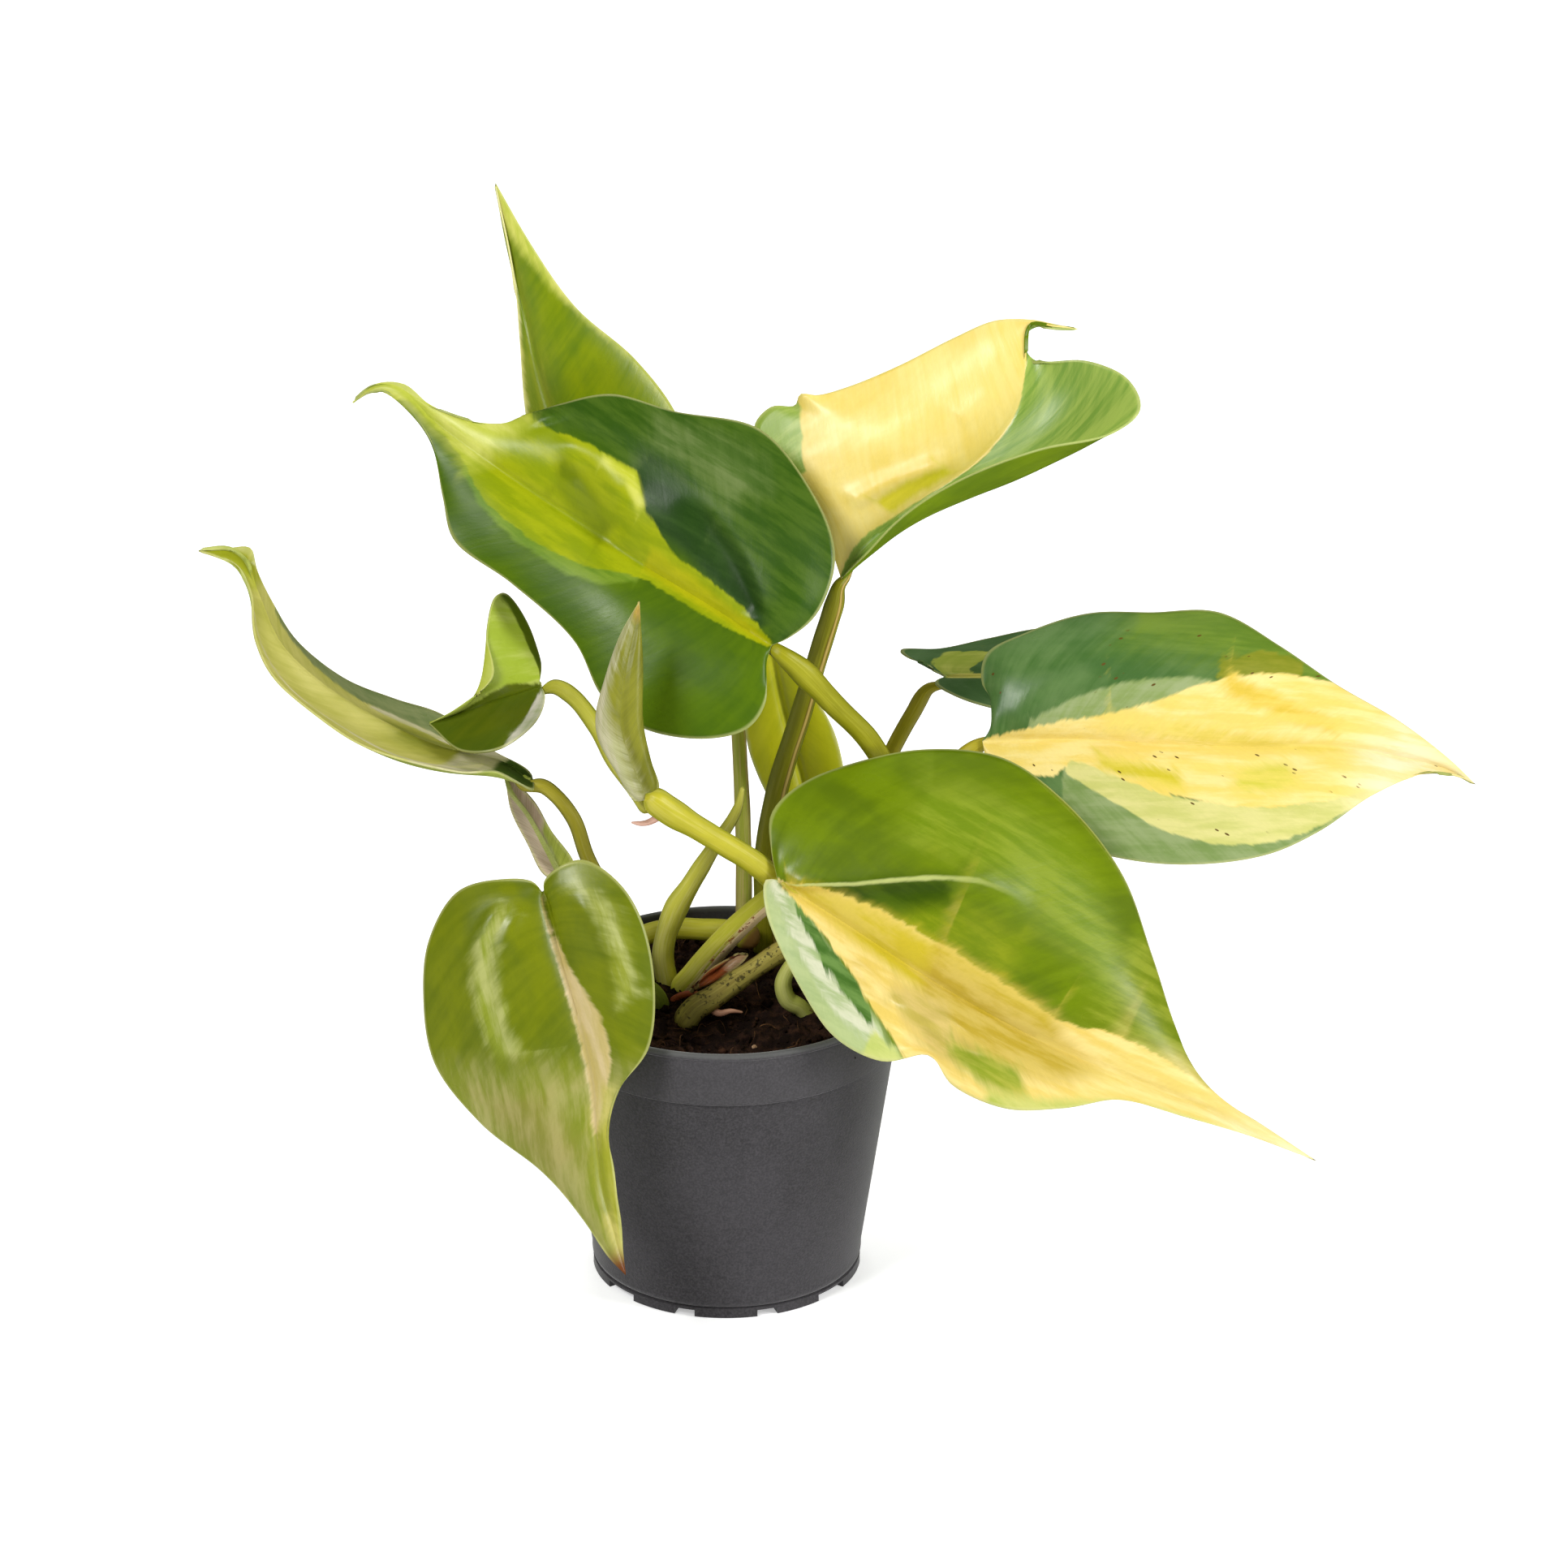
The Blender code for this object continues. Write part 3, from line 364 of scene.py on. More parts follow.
            dict(line=[(-0.25, 0.5), (-0.3, 0.65), (-0.25, 0.8)], height=0.4, near=1.6, far=2.0),
        ], specks=True),
    "leaf_lower_left": dict(
        base=((116, 126, 10), (94, 108, 2)), under=OLIVE, slot="leaf_green", seed=5, shine=0.32,
        patches=[
            # painted highlights: two soft whitish sheens, one on each half
            area((176, 180, 110), (140, 148, 50), 2.0, 2.5, left=[(0, 2), (0.06, 2), (0.12, -0.72),
                 (0.3, -0.8), (0.42, -0.76), (0.5, 2), (1, 2)], right=[(0.06, -0.6), (0.3, -0.62),
                 (0.42, -0.6), (1, -0.6)]),
            area((170, 174, 100), (134, 146, 40), 1.8, 2.5, left=[(0, 2), (0.08, 2), (0.16, 0.44),
                 (0.34, 0.46), (0.5, 0.4), (0.56, 2), (1, 2)], right=[(0.08, 0.56), (0.34, 0.62), (0.5, 0.56),
                 (1, 0.56)]),
            area((158, 156, 88), (124, 134, 38), 4.5, 3.0, left=[(0, 2), (0.46, 2), (0.6, -0.9), (1, -0.9)]),
            area((160, 152, 88), (132, 132, 50), 4.0, 3.0, left=[(0, 2), (0.5, 2), (0.6, 0.35), (0.75, 0.2),
                 (0.9, 2), (1, 2)], right=[(0.5, 0.8), (0.7, 0.9), (0.9, 1), (1, 1)]),
            area((176, 172, 70), (150, 152, 40), 2.5, 1.5, left=[(0, 2), (0.6, 2), (0.7, -1.3), (1, -1.3)],
                 right=[(0, 0.02), (1, 0.02)]),
            area((124, 136, 16), (144, 150, 30), 2.0, 1.0, left=[(0, 2), (0.7, 2), (0.76, -0.4), (0.84, -0.3),
                 (0.9, 2), (1, 2)], right=[(0, 0.0), (1, 0.0)]),
            area((206, 186, 136), (190, 172, 104), 0.45, 0.9, left=[(0.0, 0.1), (0.1, 0.05), (0.2, -0.0),
                 (0.28, -0.05), (0.37, -0.15), (0.45, -0.3), (0.52, -0.4), (0.6, -0.44), (0.66, -0.4),
                 (0.72, 0.1), (1, 0.3)], right=[(0.0, 0.14), (0.2, 0.04), (0.3, 0.03), (0.8, 0.03),
                 (1, 0.1)]),
            area((196, 186, 110), (182, 174, 84), 1.6, 1.0, left=[(0, 2), (0.56, 2), (0.62, -0.6),
                 (0.68, -0.95), (0.74, 2), (1, 2)], right=[(0, -0.3), (1, -0.2)]),
            area((202, 192, 108), (184, 176, 84), 1.2, 1.0, left=[(0, 2), (0.84, 2), (0.9, -0.7), (1, -0.8)],
                 right=[(0, 0.02), (1, 0.1)]),
        ],
        folds=[
            dict(line=[(0.34, 0.12), (0.42, 0.26), (0.44, 0.4), (0.42, 0.54)], height=0.6, near=1.4, far=1.8),
            dict(line=[(0.56, 0.14), (0.6, 0.3), (0.64, 0.5)], height=0.7, near=1.5, far=2.2),
            dict(line=[(-0.5, 0.14), (-0.58, 0.32), (-0.5, 0.5)], height=0.4, near=2.2, far=2.6),
        ], brown_tip=True),
    "leaf_back_left": dict(
        base=((126, 142, 4), (92, 118, 4)), under=OLIVE, slot="leaf_green", seed=6,
        patches=[
            area((104, 124, 16), (128, 138, 30), 3.0, 2.0, right=[(0, 0.12), (1, 0.12)]),
            area((224, 216, 150), (206, 200, 110), 0.7, 0.8, right=[(0, -0.94), (0.6, -0.9), (0.8, -0.7),
                 (0.9, -0.2), (1, 0)]),
            area((198, 198, 96), (170, 180, 60), 1.2, 1.0, left=[(0, 0.98), (0.7, 0.95), (0.82, 0.7),
                 (0.9, 0.2), (1, -1)]),
        ],
        folds=[]),
    "leaf_far_left": dict(
        base=((196, 190, 104), (172, 170, 74)), under=((176, 184, 92), (140, 156, 60)),
        slot="leaf_green", seed=7,
        patches=[
            area((142, 142, 44), (122, 126, 34), 3.5, 1.5, left=[(0, -0.4), (0.3, -0.3), (0.42, -0.2),
                 (0.56, 2), (1, 2)], right=[(0, 0.9), (0.3, 0.62), (0.42, 0.6), (1, 0.5)]),
            area((134, 142, 92), (108, 124, 72), 0.6, 1.4, streak=0.3, left=[(0, 2), (0.2, 2), (0.3, 0.66),
                 (0.5, 0.76), (0.75, 0.92), (0.85, 1.3)]),
            area((206, 198, 164), (180, 178, 118), 0.5, 0.8, left=[(0, 2), (0.16, 2), (0.2, 0.5),
                 (0.35, 0.62), (0.5, 0.72), (0.6, 2), (1, 2)], right=[(0, 0.7), (0.2, 0.62), (0.35, 0.7),
                 (0.5, 0.78), (1, 0.8)]),
            area((196, 188, 156), (168, 166, 116), 1.0, 0.8, right=[(0, 1.3), (0.22, 1.3), (0.27, -0.1),
                 (0.32, -1.3), (1, -2)]),
            area((52, 72, 22), (66, 88, 26), 0.9, 0.8, right=[(0, 1.3), (0.14, 1.3), (0.18, -1.3), (1, -2)]),
            area((206, 196, 160), (186, 182, 124), 0.4, 0.6, left=[(0, 2), (0.14, 2), (0.2, -0.36),
                 (0.28, -0.48), (0.36, -0.62), (0.5, -0.72), (0.8, -0.86), (0.86, 2), (1, 2)],
                 right=[(0, 0.0), (0.2, -0.2), (0.26, -0.38), (0.36, -0.54), (0.5, -0.66), (0.8, -0.8),
                 (1, -0.8)]),
            area((150, 156, 26), (176, 176, 70), 1.2, 1.0, left=[(0, 2), (0.82, 2), (0.86, -1.3), (1, -1.3)]),
        ],
        folds=[]),
    "leaf_small_folded": dict(
        base=((88, 100, 8), (72, 90, 4)), under=((186, 194, 84), (170, 184, 54)),
        slot="leaf_green", seed=8,
        patches=[
            area((196, 192, 172), (150, 160, 110), 0.5, 1.6, streak=0.6, right=[(0, -0.9), (0.15, -0.6),
                 (0.3, -0.7), (0.45, -0.86), (0.6, -1.3), (1, -2)]),
            area((178, 192, 86), (158, 178, 52), 0.4, 0.8, left=[(0, 0.08), (1, 0.08)], right=[(0, 0.62),
                 (0.2, 0.66), (0.4, 0.95), (0.5, 1.3), (1, 1.3)]),
        ],
        folds=[]),
    "leaf_behind_stalks": dict(
        base=((196, 194, 30), (176, 178, 14)), under=((180, 180, 50), (160, 164, 30)),
        slot="leaf_green", seed=9,
        patches=[
            area((206, 204, 120), (186, 188, 80), 0.4, 0.4, right=[(0, -0.95), (1, -0.95)]),
            area((206, 204, 120), (186, 188, 80), 0.4, 0.4, left=[(0, 0.95), (1, 0.95)]),
        ],
        folds=[]),
    "leaf_back_right": dict(
        base=((90, 118, 74), (66, 98, 50)), under=((92, 120, 70), (72, 102, 50)),
        slot="leaf_dark", seed=10,
        patches=[
            area((176, 182, 84), (150, 164, 60), 0.3, 2.2, streak=0.6, left=[(0.0, -0.5), (0.1, -0.5),
                 (0.2, -0.62), (0.3, -0.8), (0.4, -0.7), (0.5, 2), (1, 2)], right=[(0.0, 0.3), (0.2, 0.1),
                 (0.3, -0.25), (0.4, -0.5), (1, -1)]),
            area((210, 202, 110), (190, 184, 70), 0.3, 0.3, left=[(0.0, -0.12), (0.5, -0.05), (1, -0.1)],
                 right=[(0.0, 0.12), (0.5, 0.05), (1, 0.1)]),
        ],
        folds=[]),
    "sheath_green": dict(
        base=((138, 138, 46), (110, 112, 26)), under=((170, 168, 100), (144, 148, 76)),
        slot="sheath_skin", seed=11, fibres=1.0,
        patches=[
            area((196, 190, 158), (178, 178, 130), 1.5, 2.0, right=[(0, -0.2), (0.4, -0.1), (0.6, -0.5),
                 (1, -0.6)]),
            area((190, 160, 70), (170, 140, 60), 1.2, 0.8, left=[(0, 2), (0.9, 2), (0.95, -1.3), (1, -1.3)]),
        ],
        folds=[]),
    "sheath_dry": dict(
        base=((204, 186, 162), (176, 152, 126)), under=((150, 160, 80), (176, 180, 110)),
        slot="sheath_skin", seed=12, fibres=1.0,
        patches=[
            area((170, 178, 78), (148, 160, 60), 0.6, 1.0, streak=0.6, left=[(0, -0.2), (0.3, 0.0),
                 (0.5, 0.5), (0.6, 2), (1, 2)]),
        ],
        folds=[]),
    "stem_scale": dict(
        base=((168, 80, 44), (116, 52, 28)), under=((120, 58, 36), (84, 40, 26)),
        slot="root_skin", seed=13, fibres=1.0,
        patches=[
            area((196, 162, 128), (160, 120, 90), 0.8, 1.5, left=[(0, 2), (0.6, 2), (0.7, -0.6), (1, -1)]),
        ],
        folds=[]),
}

# ---- stems and stalks ----------------------------------------------------------------------
# radius: (share of the way, radius); top, side, line: skin colours, where a lighter top and a darker side are
# painted light and shade (the speckled stalk's cream side is its own colour); blade: the leaf it carries
ROUND, RINGS = 28, 110
MOSS = (112, 126, 24)
STALK_FACE = (0.0, -0.9, 0.45)         # the way a stalk's top side faces, front and up towards the lamps, where its painted lit colour goes
UNDER_RIB_ROWS = [4, 9, 15]            # rows of the blade that its stalk runs on under
UNDER_RIB_DEPTHS = [[1.5], [1.25], [0.75]]
STALKS = {
    "petiole_back_left": dict(
        points=[(3, 22.5, 49), (3, 23, 53), (3, 27, 66), (2.5, 31, 80), (1.5, 34, 94), (-1, 36, 106),
                (-7, 37, 115), (-15, 36, 122)],
        radius=[(0, 1.5), (0.5, 1.3), (1, 1.2)], blade="leaf_back_left",
        top=(176, 182, 70), side=(150, 130, 60), line=(214, 190, 130), streaks=0.5),
    "petiole_middle_left": dict(
        points=[(16, 5, 49), (17, 6, 53.5), (22, 8, 64), (27, 12, 80), (28, 12, 88), (25, 9, 96),
                (19, 6, 104), (13, 3, 112), (9.5, 2, 115.5)],
        radius=[(0, 2.4), (0.3, 2.0), (0.8, 1.9), (0.95, 2.3), (1, 1.9)], blade="leaf_middle_left",
        top=(148, 146, 12), side=(102, 106, 6), line=(178, 172, 44), streaks=0.4, channel=0.1),
    "petiole_yellow": dict(
        points=[(7, 18.5, 49), (7, 19, 53), (7, 20, 60), (7, 21, 69), (9, 22, 81), (13, 22, 95),
                (16, 22, 106), (19, 21, 117), (19.8, 20.5, 120.5)],
        radius=[(0, 2.4), (0.2, 2.1), (0.8, 1.8), (1, 1.8)], blade="leaf_yellow",
        top=(138, 136, 16), side=(90, 98, 8), line=(166, 158, 44), streaks=0.5,
        edge=dict(colour=(190, 164, 84), turn=0.75, width=0.2)),
    "vine_stem": dict(
        points=[(19.5, -1, 48), (19, -2, 54), (17.5, -5, 63), (13, -8.5, 72), (6, -11, 81), (-2, -14, 88),
                (-9.8, -17, 94.6), (-13.5, -18, 98)],
        radius=[(0, 2.5), (0.6, 2.1), (0.8, 2.05), (0.93, 2.5), (0.97, 2.4), (1, 1.5)],
        top=(188, 180, 44), side=(138, 142, 16), line=(206, 196, 84), streaks=0.5),
    "new_shoot": dict(
        points=[(-10, 5, 49), (-10.5, 4.5, 52.6), (-11, 4, 58), (-9, 3, 66), (-6, 2, 72), (-2, 2, 79),
                (2, 2, 86), (3, 3, 90)],
        radius=[(0, 2.0), (0.3, 1.9), (0.42, 2.2), (0.5, 1.75), (0.62, 1.5), (0.76, 1.2), (0.9, 0.95),
                (1, 0.4)],
        top=(200, 196, 74), side=(150, 152, 36), line=(222, 214, 132), streaks=0.5),
    "stalk_speckled": dict(
        points=[(-9, 1.5, 50.5), (-6, 1.5, 54), (-4, 2, 56.5), (1, 1, 63), (5.5, -1, 68.5), (9, -2, 72),
                (11.5, -3, 74.5)],
        radius=[(0, 2.3), (0.3, 2.2), (1, 1.9)],
        top=(190, 188, 56), side=(252, 224, 178), line=(222, 206, 116), streaks=0.3,
        specks=0.85, seam=0.5, side_from=0.2),
    "side_stem": dict(
        points=[(-21, 12, 51), (-18, 13, 54), (-16, 14, 55.5), (-11, 15, 57), (-4, 15, 57), (3, 14, 56.5),
                (5.5, 12.5, 55.2)],
        radius=[(0, 1.9), (0.5, 1.9), (0.8, 2.1), (0.92, 2.4), (1, 1.7)],
        top=(200, 194, 56), side=(150, 150, 24), line=(216, 208, 100), streaks=0.5, brown_end=3.0),
    "old_stem": dict(
        points=[(-8, -13, 51), (-5.5, -12, 54.3), (-2, -10.5, 56), (3, -7.5, 58.5), (8, -5, 61),
                (11.5, -3.5, 62.5), (15, -2, 63)],
        radius=[(0, 2.2), (0.3, 2.1), (0.55, 1.8), (1, 1.9)],
        top=(176, 162, 78), side=(120, 108, 46), line=(120, 100, 46), streaks=0.5, blotch=0.8, rough=0.6,
        lumps=0.05),
    "small_shoot": dict(
        points=[(15, -8.5, 50.5), (13, -9, 53.2), (10.8, -9.5, 55), (10, -9.5, 58), (11, -9.5, 61),
                (13, -9, 63.5)],
        radius=[(0, 1.3), (0.3, 1.6), (0.6, 1.5), (1, 1.0)],
        top=(186, 190, 92), side=(146, 152, 60), line=(210, 208, 130), streaks=0.5),
    "petiole_small_folded": dict(
        points=[(-13, -15, 93), (-15, -13.5, 96), (-19, -11, 101), (-22, -6, 105), (-26, 0, 108),
                (-29.3, 3, 108.8)],
        radius=[(0, 1.2), (0.3, 1.4), (0.9, 1.5), (1, 1.3)], blade="leaf_small_folded",
        top=(176, 174, 56), side=(118, 124, 24), line=(200, 194, 96), streaks=0.4, channel=0.08),
    "petiole_far_left": dict(
        points=[(-15, 1, 49.5), (-16, 0, 53.3), (-18.5, -2, 62), (-21, -4, 73), (-24, -6, 81), (-26, -7, 88),
                (-29, -8, 93), (-31.5, -8, 95)],
        radius=[(0, 1.5), (0.5, 1.3), (1, 1.3)], blade="leaf_far_left",
        top=(166, 156, 40), side=(104, 104, 12), line=(186, 176, 84), streaks=0.5),
    "petiole_lower_left": dict(
        points=[(-11, -4, 50), (-12.5, -5, 53.8), (-18, -7, 59), (-25, -12, 69), (-29, -16, 76),
                (-30.5, -18.5, 79)],
        radius=[(0, 1.8), (0.6, 1.6), (1, 1.5)], blade="leaf_lower_left",
        top=(140, 156, 50), side=(104, 124, 32), line=(170, 180, 80), streaks=0.5),
    "petiole_right": dict(
        points=[(15, 13.5, 49.5), (16, 14, 53), (24, 18, 63), (32, 22, 75), (40, 25, 84), (42.6, 25.8, 86.4)],
        radius=[(0, 1.9), (0.5, 1.7), (1, 1.5)], blade="leaf_right",
        top=(180, 166, 40), side=(124, 116, 14), line=(204, 190, 84), streaks=0.5),
    "petiole_back_right": dict(
        points=[(11.5, 16, 49.5), (12, 17, 53.5), (15, 23, 60), (20, 32, 66), (26, 41, 72), (30, 46, 79),
                (33, 48, 84), (36, 48, 89)],
        radius=[(0, 1.7), (0.5, 1.5), (1, 1.4)], blade="leaf_back_right",
        top=(168, 156, 26), side=(110, 104, 8), line=(192, 178, 70), streaks=0.5),
    "petiole_front_right": dict(
        points=[(22.5, -6, 50), (22, -7, 53.5), (20, -11, 62), (16, -14.5, 70), (12, -13.5, 76.5)],
        radius=[(0, 2.1), (0.5, 1.9), (1, 1.7)], blade="leaf_front_right",
        top=(200, 188, 60), side=(156, 150, 30), line=(214, 204, 104), streaks=0.5),
    "petiole_behind_stalks": dict(
        points=[(9.5, 21, 49.5), (10, 22, 53), (14, 31, 64), (13, 38, 78), (10, 38, 93), (8.3, 34.8, 101)],
        radius=[(0, 1.6), (0.5, 1.4), (1, 1.3)], blade="leaf_behind_stalks",
        top=MOSS, side=(84, 100, 20), line=(150, 160, 60), streaks=0.5),
    "stem_root": dict(
        points=[(-11, -17, 93.5), (-12.6, -17, 92.4), (-14, -17.5, 92.2), (-16, -18, 92.6)],
        radius=[(0, 0.8), (0.4, 0.6), (0.8, 0.42), (1, 0.15)],
        top=(206, 160, 140), side=(170, 120, 100), line=(224, 190, 170), streaks=0.4, rough=0.6, lumps=0.1),
    "root_left": dict(
        points=[(-9.5, -3, 51.5), (-8, -4, 53), (-6, -6, 54.5), (-3, -6.5, 54.5)],
        radius=[(0, 0.8), (0.6, 0.6), (1, 0.25)],
        top=(170, 74, 50), side=(120, 50, 34), line=(200, 120, 90), streaks=0.4, rough=0.6, lumps=0.1),
    "root_right": dict(
        points=[(-2.5, -11.5, 54), (-1, -12, 53.6), (1, -13, 54.5), (3, -12.5, 54)],
        radius=[(0, 0.7), (0.5, 0.5), (1, 0.2)],
        top=(206, 150, 120), side=(160, 100, 76), line=(224, 180, 150), streaks=0.4, rough=0.6, lumps=0.1),
}


def srgb(colour):
    """A colour of three 0 to 255 numbers as a linear RGBA value."""
    lin = [(c / 255 / 12.92) if c <= 10 else ((c / 255 + 0.055) / 1.055) ** 2.4 for c in colour]
    return (*lin, 1.0)


# ---- geometry helpers -----------------------------------------------------------------------
def smooth_curve(points, share):
    """Points on a smooth curve through the given ones, at the given shares of its length."""
    pts = np.array(points, float)
    knots = np.concatenate([[0.0], np.cumsum(np.sqrt(np.linalg.norm(np.diff(pts, axis=0), axis=1)))])
    pts = np.vstack([2 * pts[0] - pts[1], pts, 2 * pts[-1] - pts[-2]])
    knots = np.concatenate([[-knots[1]], knots, [2 * knots[-1] - knots[-2]]])
    fine = []
    for t in np.linspace(0.0, knots[-2], 900):
        i = int(np.clip(np.searchsorted(knots, t, side="right") - 1, 1, len(knots) - 3))
        level = [(pts[j], knots[j], knots[j]) for j in range(i - 1, i + 3)]
        while len(level) > 1:                      # blend neighbours until one point is left
            joined = []
            for (before, start, _), (after, _, end) in zip(level, level[1:]):
                lo, hi = (start, end) if len(level) != 2 else (knots[i], knots[i + 1])
                joined.append(((before * (hi - t) + after * (t - lo)) / (hi - lo), start, end))
            level = joined
        fine.append(level[0][0])
    fine = np.array(fine)
    length = np.concatenate([[0.0], np.cumsum(np.linalg.norm(np.diff(fine, axis=0), axis=1))])
    want = np.asarray(share) * length[-1]
    return np.stack([np.interp(want, length, fine[:, k]) for k in range(3)], axis=1)


def smoothstep(lo, hi, x):
    t = np.clip((x - lo) / (hi - lo), 0.0, 1.0)
    return t * t * (3 - 2 * t)


def blur_rows(values, passes):
    """Softens values along their first axis, keeping both ends."""
    out = values.copy()
    for _ in range(passes):
        out[1:-1] = (out[:-2] + 2 * out[1:-1] + out[2:]) / 4
    return out


def ripples(x, y, seed, waves=10):
    """Smooth seeded undulation between about -1 and 1, with features about one unit across."""
    rng = np.random.default_rng(seed)
    total = np.zeros_like(x)
    for _ in range(waves):
        angle, phase, pitch = rng.uniform(0, 2 * math.pi, 2).tolist() + [rng.uniform(0.6, 1.4)]
        total += np.sin((x * math.cos(angle) + y * math.sin(angle)) * 2 * math.pi * pitch / 2 + phase)
    return total / math.sqrt(waves / 2) / 2


def grid_object(name, across, along):
    """A flat grid whose own UVs are (u, v); returns it with each corner's u and v."""
    bpy.ops.object.select_all(action="DESELECT")
    bpy.ops.mesh.primitive_grid_add(x_subdivisions=across, y_subdivisions=along, size=2.0)
    obj = bpy.context.active_object
    obj.name = obj.data.name = name
    flat = np.empty(len(obj.data.vertices) * 3)
    obj.data.vertices.foreach_get("co", flat)
    flat = flat.reshape(-1, 3)
    return obj, flat[:, 0], (flat[:, 1] + 1) / 2


def set_shape(obj, places):
    obj.data.vertices.foreach_set("co", (places * MM).ravel())
    obj.data.update()


def set_values(obj, name, values, kind="FLOAT"):
    """Stores one value, or one vector, per corner for the materials to read."""
    layer = obj.data.attributes.new(name, kind, "POINT")
    layer.data.foreach_set("value" if kind == "FLOAT" else "vector", np.ravel(values))


def finish_mesh(obj, merge=0.00001, angle=60):
    """Closes poles and seams and shades the mesh smooth."""
    bpy.ops.object.select_all(action="DESELECT")
    obj.select_set(True)
    bpy.context.view_layer.objects.active = obj
    bpy.ops.object.mode_set(mode="EDIT")
    bpy.ops.mesh.select_all(action="SELECT")
    bpy.ops.mesh.remove_doubles(threshold=merge)
    bpy.ops.object.mode_set(mode="OBJECT")
    bpy.ops.object.shade_smooth_by_angle(angle=math.radians(angle))


def hand_over(obj, node=None):
    """Puts a finished piece on the plant's one rigid body."""
    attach(obj, "root")
    if node:
        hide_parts(node)


# ---- materials ------------------------------------------------------------------------------
class Shader:
    """One Principled material and short names for adding nodes to it."""

    def __init__(self, name):
        self.material = bpy.data.materials.new(name)
        self.material.use_nodes = True
        self.tree = self.material.node_tree
        self.surface = self.tree.nodes["Principled BSDF"]

    def put(self, socket, value):
        if isinstance(value, bpy.types.NodeSocket):
            self.tree.links.new(value, socket)
        else:
            socket.default_value = value

    def add(self, kind, inputs=None, out=0, **settings):
        node = self.tree.nodes.new(kind)
        for key, value in settings.items():
            setattr(node, key, value)
        for key, value in (inputs or {}).items():
            self.put(node.inputs[key], value)
        return node.outputs[out]

    def value(self, name):
        return self.add("ShaderNodeAttribute", out=2, attribute_name=name)

    def vector(self, name):
        return self.add("ShaderNodeAttribute", out=1, attribute_name=name)

    def math(self, how, a, b=0.0, c=0.0):
        return self.add("ShaderNodeMath", {0: a, 1: b, 2: c}, operation=how)

    def stretch(self, vector, x, y, z=1.0):
        return self.add("ShaderNodeVectorMath", {0: vector, 1: (x, y, z)}, operation="MULTIPLY")

    def noise(self, vector, scale, detail=3.0, rough=0.55):
        return self.add("ShaderNodeTexNoise", {"Vector": vector, "Scale": scale, "Detail": detail,
                                               "Roughness": rough})

    def step(self, value, lo, hi, to_lo=0.0, to_hi=1.0):
        return self.add("ShaderNodeMapRange", {0: value, 1: lo, 2: hi, 3: to_lo, 4: to_hi},
                        interpolation_type="SMOOTHSTEP")

    def mix(self, share, a, b):
        return self.add("ShaderNodeMix", {0: share, 6: a, 7: b}, out=2, data_type="RGBA")

    def set(self, **values):
        for key, value in values.items():
            self.put(self.surface.inputs[key.replace("_", " ")], value)

    def bump(self, height, strength, distance):
        normal = self.add("ShaderNodeBump", {"Height": height, "Strength": strength,
                                             "Distance": distance})
        self.put(self.surface.inputs["Normal"], normal)


